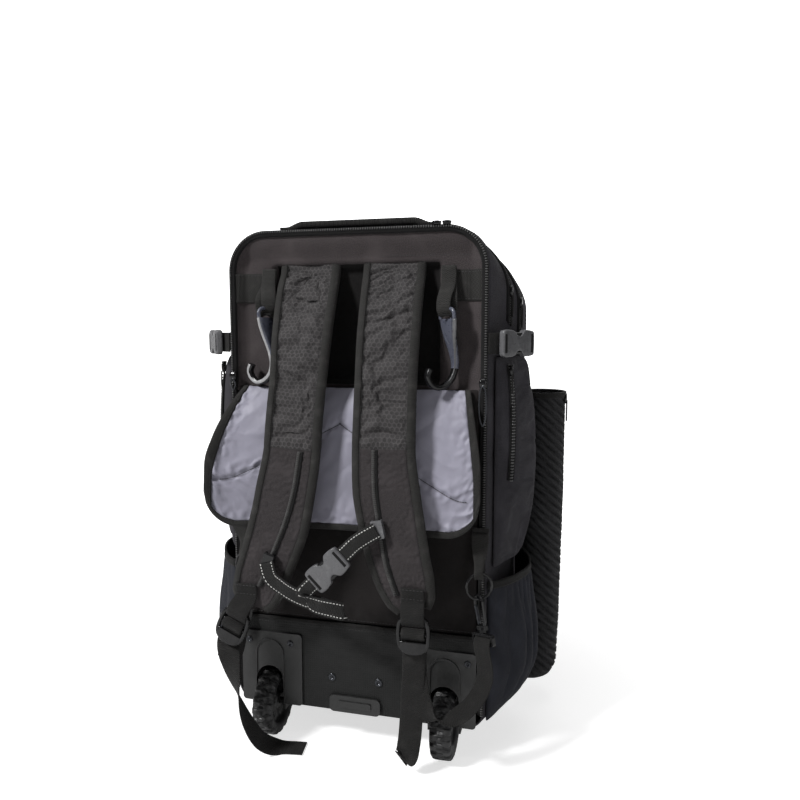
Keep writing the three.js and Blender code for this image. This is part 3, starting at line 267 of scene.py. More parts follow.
CHARCOAL = (0.03, 0.0285, 0.033)
BLACK = (0.009, 0.009, 0.0095)
DASHES = {"offsets": (-7.2, 7.2), "half": 0.4, "pitch": 3.6, "colour": (0.5, 0.5, 0.48)}

# Each paint, under the slot of the record that it belongs to
SLOT_PAINTS = {
    "cloth": {
        "cloth": cloth_paint("black_cloth", (0.041, 0.0348, 0.0357)),
        "hex": hex_paint("hex_ripstop", (0.043, 0.0405, 0.041)),
        "strap": cloth_paint("strap_cloth", (0.0305, 0.0268, 0.0278)),
        # Cloth of the back panel, darkened to a fraction of the wall's: painted shade of the flap and straps
        # over it.
        "panel": cloth_paint("panel_painted_shade_cloth", (0.0112, 0.0097, 0.0096)),
        # Near-black cloth for the bay's recess behind the straps: painted shade.
        "recess": cloth_paint("recess_painted_shade", (0.006, 0.0055, 0.0055)),
    },
    "side_cloth": {
        "side": cloth_paint("charcoal_cloth", CHARCOAL, pitch=1.2),
        "shell": cloth_paint("shell_cloth", CHARCOAL, pitch=1.2, mapped=False),
    },
    "lining": {"lining": lining_paint("satin_lining", (0.235, 0.23, 0.28))},
    "stretch": {
        "stretch": cloth_paint("stretch_knit", (0.0155, 0.0165, 0.022), 0.8, 0.9),
        "sleeve": cloth_paint("ribbed_knit", (0.021, 0.021, 0.0225), 0.65, 0.9),
    },
    "tape": {
        "tape": webbing_paint("webbing", (0.0086, 0.0083, 0.008)),
        "dashes": webbing_paint("dashed_webbing", (0.012, 0.0118, 0.0115), DASHES),
        "binding": webbing_paint("grosgrain", (0.0165, 0.016, 0.0152)),
        "cord": webbing_paint("rail_tape", (0.038, 0.0375, 0.037)),
        "thread": moulded_paint("thread", (0.03, 0.029, 0.03), 0.8),
        "dark_thread": moulded_paint("dark_thread", (0.012, 0.012, 0.012), 0.8),
        "lip": cloth_paint("zip_tape", (0.007, 0.0068, 0.007), 0.85, 0.9),
    },
    "rubberised": {"base": grid_paint("rubberised_cloth", (0.0083, 0.0085, 0.0084))},
    "moulded": {"moulded": moulded_paint("moulded_plastic", (0.0127, 0.0128, 0.0127), 0.4, 0.2)},
    "hook_plastic": {
        "hook": moulded_paint("hook_plastic", (0.06, 0.064, 0.085), 0.3),
        # Pale grey of the hooks' rims: a painted highlight along their lit edges.
        "rim": moulded_paint("hook_highlight_rim", (0.25, 0.25, 0.255), 0.35),
    },
    "grey_plastic": {"grey": moulded_paint("grey_plastic", (0.08, 0.08, 0.084), 0.28)},
    "black_plastic": {
        "gloss": moulded_paint("black_plastic", (0.006, 0.006, 0.0064), 0.18, 0.06, Specular_IOR_Level=0.35),
        "coil": moulded_paint("zip_coil", (0.05, 0.05, 0.05), 0.35),
    },
    "gunmetal": {"metal": moulded_paint("lacquered_steel", (0.05, 0.052, 0.058), 0.3, 0.05, Metallic=0.85)},
    "tyre": {"tyre": moulded_paint("tyre_rubber", BLACK, 0.48, 0.08, 0.5)},
}
PAINTS = {key: paint.material for paints in SLOT_PAINTS.values() for key, paint in paints.items()}


# Camera, floor and light

CAMERA = {"at": (267.0, -824.6, 536.2), "turn": (84.33, 0.0, 14.15), "lens": 31.52, "sensor": 36.0}
# Lights in metres: place, height that they aim at, size and power
LIGHTS = {
    "key": ((-2.0, -2.3, 3.0), 0.35, (0.6, 0.6), 205),
    "fill": ((2.2, -1.6, 1.3), 0.35, (1.4, 1.6), 11),
    "top": ((0.1, -0.3, 2.8), 0.4, (1.8, 1.4), 20),
}
# Light of the studio's far wall, by how far a direction goes into the picture
BACKDROP = {"From Min": 0.5, "From Max": 0.72, "To Min": 0.07, "To Max": 1.05}
# What the camera sees of the studio, and the share of the floor's own glow that lights the bag
SEEN = 1.05
FLOOR_LIGHT = 0.25
FLOOR = {"half": 6.0, "colour": (0.6, 0.6, 0.6), "near": (200.0, 0.66), "far": (1100.0, 1.1)}


def set_camera():
    data = bpy.data.cameras.new("camera")
    data.lens, data.sensor_width = CAMERA["lens"], CAMERA["sensor"]
    camera = bpy.data.objects.new("camera", data)
    camera.location = placed(CAMERA["at"])
    camera.rotation_euler = [math.radians(turn) for turn in CAMERA["turn"]]
    SCENE.collection.objects.link(camera)
    SCENE.camera = camera


def set_lights():
    for name, (at, aim, size, power) in LIGHTS.items():
        data = bpy.data.lights.new(name, "AREA")
        data.shape = "RECTANGLE"
        data.size, data.size_y = size
        data.energy = power
        light = bpy.data.objects.new(name, data)
        light.location = at
        light.rotation_euler = (Vector((0, 0, aim)) - Vector(at)).to_track_quat("-Z", "Y").to_euler()
        SCENE.collection.objects.link(light)


def set_studio():
    SCENE.view_settings.view_transform = "Standard"
    SCENE.world = bpy.data.worlds.new("studio")
    SCENE.world.use_nodes = True
    tree = SCENE.world.node_tree
    direction = add_node(tree, "TexCoord", {}, "Generated")
    depth = add_node(tree, "SeparateXYZ", {0: direction}, "Y")
    glow = add_node(tree, "MapRange", {"Value": depth, **BACKDROP})
    seen = add_node(tree, "LightPath", {}, "Is Camera Ray")
    strength = add_node(tree, "Math", {0: seen, 1: SEEN, 2: glow}, operation="MULTIPLY_ADD")
    feed(tree, tree.nodes["Background"].inputs["Strength"], strength)
    feed(tree, tree.nodes["Background"].inputs["Color"], (1.0, 1.0, 1.0, 1.0))


def set_floor():
    """A pale floor with a glow of its own, which grows with the distance and hides the horizon."""
    paint = Paint("pale_floor", FLOOR["colour"], 0.8, Emission_Color=(1.0, 1.0, 1.0, 1.0))
    far = paint.vector("LENGTH", paint.solid(), output="Value")
    (start, dim), (end, bright) = FLOOR["near"], FLOOR["far"]
    seen = paint.between(paint.add("LightPath", {}, "Is Camera Ray"), 0.0, 1.0, FLOOR_LIGHT, 1.0)
    paint.set("Emission Strength", paint.math("MULTIPLY", paint.between(far, start, end, dim, bright), seen))
    mesh = bpy.data.meshes.new("floor")
    corners = [(FLOOR["half"] * x, FLOOR["half"] * y, 0) for x, y in ((-1, -1), (1, -1), (1, 1), (-1, 1))]
    mesh.from_pydata(corners, [], [range(4)])
    mesh.materials.append(paint.material)
    floor = bpy.data.objects.new("floor", mesh)
    SCENE.collection.objects.link(floor)


# Tools for numbers and lines

def rows_of(names, *rows):
    """A table: each row under the names of the columns."""
    return [dict(zip(names.split(), row)) for row in rows]


def column(rows, key, by, values, soften=0.0):
    """One column of a table at values of another, which may fall or rise; soften rounds its corners."""
    keys = np.array([row[by] for row in rows], float)
    order = np.argsort(keys)
    keys, found = keys[order], np.array([row[key] for row in rows], float)[order]
    values = np.asarray(values, float)
    reach = np.minimum(soften, np.minimum(values - keys[0], keys[-1] - values))
    around = np.linspace(-1, 1, 9) if soften else (0.0,)
    return np.mean([np.interp(values + share * reach, keys, found) for share in around], axis=0)


def along_rows(rows, key, steps):
    """One column of a table at even steps from row to row."""
    places = np.linspace(0, len(rows) - 1, steps + 1)
    return np.interp(places, np.arange(len(rows)), [row[key] for row in rows])


def unit(vectors):
    return vectors / np.maximum(np.linalg.norm(vectors, axis=-1, keepdims=True), 1e-9)


def xyz(x, y, z):
    """Points from their coordinates, each an array or one number for all."""
    return np.stack(np.broadcast_arrays(*(np.asarray(part, float) for part in (x, y, z))), axis=-1)


def circle(count):
    """Even turns round a circle."""
    return np.linspace(0, 2 * np.pi, count + 1)[:-1]


def shares(across, up):
    """Even shares of a surface, as two tables."""
    return np.meshgrid(np.linspace(0, 1, across), np.linspace(0, 1, up))


def from_edge(u, v, wide, tall):
    """How far points of a surface are from its nearest edge."""
    return np.minimum(np.minimum(u, 1 - u) * wide, np.minimum(v, 1 - v) * tall)


def smoothstep(values, low, high):
    share = np.clip((np.asarray(values, float) - low) / (high - low), 0.0, 1.0)
    return share * share * (3 - 2 * share)


def pulse(share, power):
    """Rises from 0 to 1 and falls again; a small power makes it square."""
    return np.maximum(np.sin(np.pi * np.clip(share, 0.0, 1.0)), 0.0) ** power


def bell(values, width):
    return np.exp(-(values / width) ** 2)


def curve(points, steps):
    """Centripetal Catmull-Rom curve through points, at even steps from point to point."""
    points = np.asarray(points, float)
    first, last = 2 * points[0] - points[1], 2 * points[-1] - points[-2]
    knots = np.vstack([first, points, last])
    share = np.linspace(0, len(points) - 1, steps + 1)
    start = np.minimum(share.astype(int), len(points) - 2)
    t = (share - start)[:, None]
    p0, p1, p2, p3 = (knots[start + i] for i in range(4))
    spans = ((p0, p1), (p1, p2), (p2, p3))
    d0, d1, d2 = (np.sqrt(np.linalg.norm(b - a, axis=1, keepdims=True)) for a, b in spans)
    t1 = ((p1 - p0) / d0 - (p2 - p0) / (d0 + d1) + (p2 - p1) / d1) * d1
    t2 = ((p2 - p1) / d1 - (p3 - p1) / (d1 + d2) + (p3 - p2) / d2) * d1
    return p1 + t1 * t + (3 * (p2 - p1) - 2 * t1 - t2) * t**2 + (2 * (p1 - p2) + t1 + t2) * t**3


def lengths(path):
    """Length of a path up to each of its points."""
    return np.concatenate([[0.0], np.cumsum(np.linalg.norm(np.diff(path, axis=0), axis=1))])


def resampled(path, pitch, table=None):
    """A path, or a table along it, in even steps of about this pitch."""
    run = lengths(path)
    table = path if table is None else np.broadcast_to(table, path.shape)
    at = np.linspace(0, run[-1], max(2, int(round(run[-1] / pitch)) + 1))
    return np.stack([np.interp(at, run, table[:, i]) for i in range(3)], axis=1)


def turned(vectors, axis, degrees):
    """Vectors turned about X, Y or Z, which are 0, 1 and 2."""
    a, b = [(1, 2), (2, 0), (0, 1)][axis]
    turn = math.radians(degrees)
    vectors = np.array(vectors, float)
    first, second = vectors[..., a].copy(), vectors[..., b].copy()
    vectors[..., a] = first * math.cos(turn) - second * math.sin(turn)
    vectors[..., b] = first * math.sin(turn) + second * math.cos(turn)
    return vectors


def mirrored(points, side):
    return np.asarray(points, float) * (SIDES[side], 1, 1)


def blended(first, last, share):
    """Directions that go from one to another by shares."""
    return unit(np.asarray(first) * (1 - share[:, None]) + np.asarray(last) * share[:, None])


CELLS = 64
NOISE_SCALE = 1.7
CREASE_SCALE = 2.2


def noise(u, v, seed):
    """Smooth noise over a plane, from about -1 to 1, with one cell for each unit."""
    slopes = np.random.default_rng(seed).uniform(-1, 1, (CELLS, CELLS, 2))
    u, v = np.broadcast_arrays(np.asarray(u, float), np.asarray(v, float))
    i, j = np.floor(u).astype(int), np.floor(v).astype(int)
    across, up = u - i, v - j

    def corner(right, above):
        slope = slopes[(i + right) % CELLS, (j + above) % CELLS]
        return slope[..., 0] * (across - right) + slope[..., 1] * (up - above)

    share, rise = smoothstep(across, 0, 1), smoothstep(up, 0, 1)
    low = corner(0, 0) * (1 - share) + corner(1, 0) * share
    high = corner(0, 1) * (1 - share) + corner(1, 1) * share
    return NOISE_SCALE * (low * (1 - rise) + high * rise)


def creases(u, v, seed):
    """Noise with sharp valleys: 0 on a valley's line, near 1 between them."""
    return np.minimum(1.0, CREASE_SCALE * np.abs(noise(u, v, seed)))


# Tools for meshes

# Cross sections, across and deep, as shares of a piece's width and thickness
RIBBON = np.array([
    (-0.5, -0.2), (-0.46, -0.5), (-0.2, -0.5), (0.2, -0.5), (0.46, -0.5), (0.5, -0.2),
    (0.5, 0.2), (0.46, 0.5), (0.2, 0.5), (-0.2, 0.5), (-0.46, 0.5), (-0.5, 0.2),
])
ROUND = np.stack([np.cos(circle(12)), np.sin(circle(12))], axis=1) / 2
SQUARED = np.sign(ROUND) * np.abs(2 * ROUND) ** 0.58 / 2
BEAD_SIDES = 5


def make(name, points, faces, paint, uv=None, stands_for=None, body="bag"):
    """A smooth piece from points of the tables, riding on a body. It replaces the node of its own name."""
    named = name in NODES
    mesh = bpy.data.meshes.new(name)
    mesh.from_pydata(placed(points).tolist(), [], [tuple(map(int, face)) for face in faces])
    if uv is not None:
        loops = np.zeros(len(mesh.loops), int)
        mesh.loops.foreach_get("vertex_index", loops)
        layer = mesh.uv_layers.new(name="cloth")
        layer.data.foreach_set("uv", np.asarray(uv, np.float32)[loops].ravel())
    mesh.materials.append(PAINTS[paint])
    mesh.shade_smooth()
    piece = bpy.data.objects.new(f"{name}_made" if named else name, mesh)
    SCENE.collection.objects.link(piece)
    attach(piece, body)
    if named or stands_for:
        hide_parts(name if named else stands_for)
    return piece


def second_paint(piece, paint, faces):
    """Gives some faces of a piece another paint."""
    piece.data.materials.append(PAINTS[paint])
    piece.data.polygons.foreach_set("material_index", np.asarray(faces).astype(np.int32))


def sweep(name, path, across, width, thick, paint, profile=RIBBON, loop=False, **made):
    """A piece along a path; across is the direction of its width, for all or each of the points."""
    path = np.asarray(path, float)
    count, sides = len(path), len(profile)
    ahead, behind = np.roll(path, -1, axis=0), np.roll(path, 1, axis=0)
    if not loop:
        ahead[-1], behind[0] = path[-1], path[0]
    along = unit(ahead - behind)
    normal = unit(np.cross(along, np.broadcast_to(across, path.shape)))
    side = np.cross(normal, along)
    wide = np.broadcast_to(width, count)[:, None, None] * profile[None, :, :1]
    thick = np.asarray(thick, float)
    thick = thick[:, None] if thick.ndim == 1 else thick
    deep = np.broadcast_to(thick, (count, sides))[..., None] * profile[None, :, 1:]
    points = path[:, None] + side[:, None] * wide + normal[:, None] * deep
    uv = np.stack([wide[..., 0], np.broadcast_to(lengths(path)[:, None], (count, sides))], axis=2)
    ring = np.arange(sides)
    after = (ring + 1) % sides
    faces = []
    for row in range(count if loop else count - 1):
        here, there = row * sides, (row + 1) % count * sides
        faces.extend(np.stack([here + ring, here + after, there + after, there + ring], axis=1))
    if not loop:
        faces += [ring[::-1], ring + (count - 1) * sides]
    piece = make(name, points.reshape(-1, 3), faces, paint, uv.reshape(-1, 2), **made)
    for end in () if loop else (-2, -1):
        piece.data.polygons[end].use_smooth = False
    return piece


def tube(name, path, thick, paint, loop=False, **made):
    """A round cord or piping along a path."""
    path = np.asarray(path, float)
    across = np.eye(3)[int(np.argmin(np.ptp(path, axis=0)))]
    return sweep(name, path, across, thick, thick, paint, ROUND, loop, **made)


def beads(name, centres, directions, length, thick, paint, **made):
    """Many small spindles, such as stitches or the teeth of a zip, as one piece."""
    directions = unit(np.asarray(directions, float))
    first = unit(np.cross(directions, np.where(np.abs(directions[:, 2:]) > 0.8, X_AXIS, Z_AXIS)))
    second = np.cross(directions, first)
    ring = [0.5 * thick * (math.cos(a) * first + math.sin(a) * second) for a in circle(BEAD_SIDES)]
    tip, shoulder = 0.5 * length * directions, 0.3 * length * directions
    rows = [-tip, *(offset - shoulder for offset in ring), *(offset + shoulder for offset in ring), tip]
    points = np.stack([centres + row for row in rows], axis=1)
    one = []
    for i in range(BEAD_SIDES):
        near, near_after = 1 + i, 1 + (i + 1) % BEAD_SIDES
        far, far_after = near + BEAD_SIDES, near_after + BEAD_SIDES
        one += [(0, near_after, near), (len(rows) - 1, far, far_after), (near, near_after, far_after, far)]
    starts = range(0, len(rows) * len(points), len(rows))
    faces = [tuple(start + corner for corner in face) for start in starts for face in one]
    return make(name, points.reshape(-1, 3), faces, paint, **made)


def stitches(name, path, paint="thread", pitch=4.2, length=3.0, thick=0.7):
    """A row of stitches along a path."""
    path = resampled(np.asarray(path, float), pitch)
    beads(name, path, np.gradient(path, axis=0), length, thick, paint)


def normals(surface, u, v, step=0.004):
    """Normals of a surface of two shares."""
    along = surface(np.minimum(u + step, 1), v) - surface(np.maximum(u - step, 0), v)
    up = surface(u, np.minimum(v + step, 1)) - surface(u, np.maximum(v - step, 0))
    return unit(np.cross(along, up))


def on_surface(surface, u, v, lift):
    """Points on a surface of two shares, lifted off it."""
    u, v = np.broadcast_arrays(np.asarray(u, float), np.asarray(v, float))
    return surface(u, v) + normals(surface, u, v) * lift


def slab(name, surface, us, vs, thick, paint, lift, relief, **made):
    """A sheet on a surface of two shares, closed all round; relief moves its outer face along the normal."""
    u, v = np.meshgrid(us, vs)
    middle, normal = surface(u, v), normals(surface, u, v)
    raised = relief(u, v)[..., None]
    outer = middle + normal * (lift + thick + raised)
    inner = middle + normal * (lift + raised * 0.6)
    rows, cols = u.shape
    wide, tall = lengths(middle[rows // 2]).max(), lengths(middle[:, cols // 2]).max()
    uv = np.stack([u * wide, v * tall], axis=2).reshape(-1, 2)
    size = rows * cols
    index = np.arange(size).reshape(rows, cols)
    corners = (index[:-1, :-1], index[:-1, 1:], index[1:, 1:], index[1:, :-1])
    quads = np.stack(corners, axis=2).reshape(-1, 4)
    rim = np.concatenate([index[0, :-1], index[:-1, -1], index[-1, :0:-1], index[:0:-1, 0]])
    after = np.roll(rim, -1)
    wall = np.stack([rim, rim + size, after + size, after], axis=1)
    faces = np.vstack([quads, quads[:, ::-1] + size, wall])
    points = np.vstack([outer.reshape(-1, 3), inner.reshape(-1, 3)])
    return make(name, points, faces, paint, np.vstack([uv, uv]), **made)


def thicken(piece, thick):
    """Gives a sheet its thickness, inwards."""
    wall = piece.modifiers.new("thickness", "SOLIDIFY")
    wall.thickness = thick * MM
    wall.offset = -1.0


def grid(name, points, paint, thick=0.0, loop=False, keep=None, **made):
    """Cloth over rows of points; loop joins the last column to the first, keep says which points stay."""
    rows, cols = points.shape[:2]
    index = np.arange(rows * cols).reshape(rows, cols)
    left = index if loop else index[:, :-1]
    right = np.roll(index, -1, axis=1) if loop else index[:, 1:]
    faces = np.stack([left[:-1], right[:-1], right[1:], left[1:]], axis=2).reshape(-1, 4)
    if keep is not None:
        faces = faces[keep.ravel()[faces].all(axis=1)]
    across, along = lengths(points[rows // 2]), lengths(points[:, cols // 2])
    uv = np.stack(np.meshgrid(across, along), axis=2).reshape(-1, 2)
    used, faces = np.unique(faces, return_inverse=True)
    piece = make(name, points.reshape(-1, 3)[used], faces.reshape(-1, 4), paint, uv[used], **made)
    if thick:
        thicken(piece, thick)
    return piece


def grid_normals(points, loop=False):
    along = np.roll(points, -1, axis=1) - np.roll(points, 1, axis=1)
    if not loop:
        along[:, 0], along[:, -1] = points[:, 1] - points[:, 0], points[:, -1] - points[:, -2]
    return unit(np.cross(along, np.gradient(points, axis=0)))


# Cloth simulation

FRAMES = 20
CLOTH = {
    "quality": 5, "mass": 0.2, "tension_stiffness": 12, "compression_stiffness": 12, "shear_stiffness": 4,
    "bending_stiffness": 0.3, "vertex_group_mass": "sewn", "use_pressure": True,
}
SOFT = []


def soften(piece, sewn, pressure, growth, cap, thick=0.0):
    """Lets a piece swell and wrinkle as cloth where it isn't sewn down, by at most the cap."""
    group = piece.vertex_groups.new(name="sewn")
    for index, weight in enumerate(np.ravel(sewn)):
        group.add([index], float(weight), "REPLACE")
    SOFT.append({"piece": piece, "pressure": pressure, "growth": growth, "cap": cap, "thick": thick})


def simulate():
    """Runs all the cloth together, applies what it made and thickens the sheets."""
    runs = SOFT
    for soft in runs:
        settings = soft["piece"].modifiers.new("cloth", "CLOTH").settings
        for key, value in CLOTH.items():
            setattr(settings, key, value)
        settings.uniform_pressure_force = soft["pressure"]
        settings.shrink_min = -soft["growth"]
        settings.effector_weights.gravity = 0.0
    for step in range(1, FRAMES + 1 if runs else 1):
        SCENE.frame_set(step)
    graph = bpy.context.evaluated_depsgraph_get()
    for soft in runs:
        piece = soft["piece"]
        before, after = (np.zeros(3 * len(piece.data.vertices)) for _ in range(2))
        piece.data.vertices.foreach_get("co", before)
        piece.evaluated_get(graph).data.vertices.foreach_get("co", after)
        moved = (after - before).reshape(-1, 3)
        far = np.linalg.norm(moved, axis=1, keepdims=True)
        moved *= np.minimum(1.0, soft["cap"] * MM / np.maximum(far, 1e-9))
        soft["made"] = before + moved.ravel()
    for soft in runs:
        piece = soft["piece"]
        piece.modifiers.remove(piece.modifiers["cloth"])
        piece.data.vertices.foreach_set("co", soft["made"])
        piece.data.update()
    for soft in SOFT:
        if soft["thick"]:
            thicken(soft["piece"], soft["thick"])
        finer = soft["piece"].modifiers.new("finer", "SUBSURF")
        finer.levels = finer.render_levels = 1
    SCENE.frame_set(1)


# Body shells and zips

SECTION = "y half shoulder top bottom high reach low"
BODY = rows_of(
    SECTION,
    (2, 165, 0, 660, 42, 50, 50, 20), (14, 170.2, 2.1, 660.5, 42, 54.2, 56.3, 22.1),
    (25, 175, 0, 661.8, 42, 66, 70, 24), (70, 187, 5, 664, 42, 96, 136, 28),
    (110, 189.5, 8.5, 664, 42, 100, 148, 30), (130, 190, 9, 664, 42, 100, 150, 30),
    (188, 190, 8, 660, 42, 100, 150, 32), (200, 183, 6, 650, 48, 96, 144, 34),
)
FRONT = rows_of(
    SECTION,
    (200.4, 177, 6, 640, 62, 90, 130, 40), (222, 181, 6, 644, 58, 92, 134, 42),
    (244, 173, 4, 634, 70, 88, 124, 44), (253, 148, 2, 604, 102, 74, 100, 40),
)
SHELLS = {
    "body": {"rows": BODY, "node": "body_shell", "steps": (16, 8, 70, 18, 16), "rings": 40, "sink": 2.2,
             "seed": 3, "piping": (197.0, -0.3)},
    "front": {"rows": FRONT, "node": "front_section", "steps": (14, 8, 60, 16, 14), "rings": 18, "sink": 2.0,
              "seed": 5, "piping": (243.0, -0.4)},
}
DENT = {"around": 70.0, "deep": 46.0}
CAP = {"shares": (0.002, 0.15, 0.35, 0.55, 0.75, 0.93), "crown": 4.0}
PIPING = 3.2
WALL = 2.5
WELL = {"reach": 23.0, "back": 58.0, "top": 100.0}
EDGE_FRONT = -3.0
# Section of the edge zip's band, as insets from the body's edge and depths
EDGE_BAND = [
    (8.0, 2.6), (7.4, -0.6), (5.6, -1.8), (4.0, -1.6), (3.0, -2.6), (0.9, -2.2), (-0.2, -1.2), (-0.4, 1.4),
]
EDGE_TEETH = {"inset": 1.7, "y": -2.5, "outer_y": -1.9}
TOP_SLIDERS = {"first": 104.0, "last": 116.0}
ZIPS = {"main": 50.0, "front": 82.0}
ZIP = {"half": 5.4, "lift": 0.4, "from": 2.93, "to": 7.07, "slider": 3.03, "slider_lift": 3.2}
# Section of a top zip's band, as shares of its half width and heights
ZIP_BAND = [(1.02, -4.0), (1.0, 0.4), (0.94, 1.2), (0.3, 1.3), (0.2, 0.8)]
SLIDERS = {
    "top": {"path": ((-5, 0, 0), (-2, 0, 0.6), (2, 0, 0.6), (5, 0, 0)), "across": Y_AXIS,
            "wide": (4, 7, 7, 4), "thick": (4.4, 4.4, 4.4, 4.4)},
    "side": {"path": ((0, 0, 7), (0, 0, 3), (0, 0, -3), (0, 0, -7)), "across": Y_AXIS,
             "wide": (5, 8, 8, 5), "thick": (2.6, 3.6, 3.6, 2.6)},
    "bay": {"path": ((0, 0, 6), (0, 0, 2.5), (0, 0, -2.5), (0, 0, -6)), "across": X_AXIS,
            "wide": (6, 9, 9, 6.5), "thick": (3.4, 5.4, 5.4, 3)},
}
PULL = [(0, -3.4, -6), (0, -3.4, -26), (0, 0, -31), (0, 3.4, -26), (0, 3.4, -6), (0, 0, -3)]
PULL_LIFT = 1.6


def outline(rows, y, t, inset=0.0):
    """Points of a section's outline: t runs from the middle of the bottom, 0, up the right side to the
    middle of the top, 5, and down the left side to the bottom again, 10."""
    y, t = np.broadcast_arrays(np.asarray(y, float), np.asarray(t, float))
    keys = SECTION.split()[1:]
    half, shoulder, top, bottom, high, reach, low = (column(rows, key, "y", y, 8.0) for key in keys)
    half, top, bottom = half - inset, top - inset, bottom + inset
    high, reach, low = high - inset, reach - inset, low - inset
    step = np.where(t > 5, 10 - t, t)
    low_turn = np.radians(90 * (np.clip(step, 1, 2) - 2))
    high_turn = np.radians(90 * (np.clip(step, 3, 4) - 3))
    rise = np.clip(step, 2, 3) - 2
    parts = [step <= 1, step <= 2, step <= 3, step <= 4]
    across = [
        step * (half - low),
        half - low + low * np.cos(low_turn),
        half + shoulder * smoothstep(rise, 0.78, 0.95),
        half + shoulder - reach + reach * np.cos(high_turn),
    ]
    up = [
        bottom,
        bottom + low + low * np.sin(low_turn),
        bottom + low + rise * (top - high - bottom - low),
        top - high + high * np.sin(high_turn),
    ]
    x = np.select(parts, across, (5 - step) * (half + shoulder - reach))
    return np.stack([np.where(t > 5, -x, x), y, np.select(parts, up, top)], axis=-1)


def outline_at(row, y, t, inset):
    """Outline of one section, moved to another depth."""
    points = outline([row, {**row, "y": row["y"] + 1}], np.full(np.shape(t), float(row["y"])), t, inset)
    points[..., 1] = y
    return points


def round_steps(counts):
    """Steps of an outline's t, with this many on each of its parts from the bottom to the top."""
    right = [np.linspace(i, i + 1, count + 1)[:-1] for i, count in enumerate(counts)]
    right = np.concatenate(right + [[5.0]])
    return np.concatenate([right, 10 - right[-2:0:-1]])


def shell(name, look):
    """Cloth over a body's sections, from its crowned closed end to its open end, with dents inwards."""
    rows = look["rows"]
    depths = np.linspace(rows[0]["y"], rows[-1]["y"], look["rings"])
    t, y = np.meshgrid(round_steps(look["steps"]), depths[::-1])
    points = outline(rows, y, t)
    run = lengths(points[len(points) // 2])
    dents = 1 - creases(run[None, :] / DENT["around"], y / DENT["deep"], look["seed"])
    fade = pulse((y - depths[0]) / np.ptp(depths), 0.5)
    for depth in ZIPS.values():
        fade = fade * smoothstep(np.abs(y - depth), ZIP["half"], 3 * ZIP["half"])
    points = points - grid_normals(points, True) * (look["sink"] * dents * fade)[..., None]
    rim, centre = points[0], points[0].mean(axis=0)
    cap = [centre + (rim - centre) * share + (0, CAP["crown"] * (1 - share**2), 0) for share in CAP["shares"]]
    points = np.vstack([np.stack(cap), points])
    in_well = np.abs(np.abs(points[..., 0]) - AXLE["x"]) < WELL["reach"]
    in_well &= (points[..., 1] < WELL["back"]) & (points[..., 2] < WELL["top"])
    grid(name, points, "shell", WALL, True, ~in_well, stands_for=look["node"])


def make_shells():
    for name, look in SHELLS.items():
        shell(name, look)
    t = np.linspace(0, 10, 280)[:-1]
    for name, look in SHELLS.items():
        depth, inset = look["piping"]
        tube(f"{name}_piping", outline(look["rows"], depth, t, inset), PIPING, "binding", True)


def zip_teeth(name, path, across, pitch=2.9, length=4.0, thick=1.9):
    """Coil of a zip along a path, with its teeth lying across."""
    beads(name, resampled(path, pitch), resampled(path, pitch, across), length, thick, "coil")


def slider(name, at, kind, **made):
    look = SLIDERS[kind]
    sweep(name, at + np.array(look["path"]), look["across"], look["wide"], look["thick"], "gloss", **made)


def zip_slider(name, at, side):
    """Slider with a cord pull hanging from it."""
    slider(name, at, "side")
    tube(f"{name}_pull", at + np.array((SIDES[side] * PULL_LIFT, 0, 0)) + curve(PULL, 40), 2.0, "tape")


def make_edge_zip():
    """Zip along the edge of the strap side: a dark lip next to the panel and its coil outside it."""
    t = np.linspace(2, 8, 320)
    edge = BODY[0]
    grid("bay_zip", np.stack([outline_at(edge, y, t, inset) for inset, y in EDGE_BAND], axis=1), "lip", 1.2)
    line = outline_at(edge, EDGE_TEETH["y"], t, EDGE_TEETH["inset"])
    zip_teeth("bay_zip_teeth", line, outline_at(edge, EDGE_TEETH["outer_y"], t, 0.0) - line, 3.0, 3.4, 1.6)
    for name, x in TOP_SLIDERS.items():
        slider(f"bay_top_slider_{name}", np.array((x, -1.0, edge["top"] + 1.6)), "top")


def make_top_zips():
    """Zips of the two compartments, over the top and down both sides."""
    t = np.linspace(ZIP["from"], ZIP["to"], 220)
    band = ZIP_BAND + [(-offset, lift) for offset, lift in ZIP_BAND[::-1]]
    for name, depth in ZIPS.items():
        columns = []
        for offset, lift in band:
            columns.append(outline(BODY, depth + offset * ZIP["half"], t, -ZIP["lift"] - lift))
        grid(f"{name}_zip", np.stack(columns, axis=1), "lip", 0.8)
        zip_teeth(f"{name}_zip_teeth", outline(BODY, depth, t, -ZIP["lift"] - 1.1), Y_AXIS)
        for end, side in ((ZIP["slider"], "right"), (10 - ZIP["slider"], "left")):
            zip_slider(f"{name}_zip_slider_{side}", outline(BODY, depth, end, -ZIP["slider_lift"]), side)


# Back panels and haul handle

PANEL = {"half": 156.6, "base": 160.0, "sill": 466.0, "y": 1.4, "crown": 4.5, "thick": 4.6, "sewn": 9.0}
BAY = {"low": 458.0, "high": 655.0, "section": 7.0, "inset": WALL + 0.4, "tuck": 3.0, "thick": 3.0}
RECESS = {"half": 102.0, "slope": 9.0, "low": 470.0, "high": 612.0, "ramp": 9.0, "deep": 12.0, "wall": 10.0}
BAND_SHARE = 0.67
# How far the bay's wall rises to its zip, and the shares of it where that begins and ends
WALL_RISE = {"high": 8.0, "top": (0.83, 0.96), "sides": (0.88, 0.97), "band": (0.1, 0.16)}
HANDLE = {"half": 102.0, "y": 30.0, "depth": 28.0, "low": 664.4, "rise": 6.4, "thick": 3.6, "padding": 4.4}
HANDLE_FADE = {"rise": (0.08, 0.3), "padding": (0.04, 0.25)}
HANDLE_SEAM = {"reach": 11.0, "seams": (0.5, 0.93), "spread": 24.0, "ends": 18}


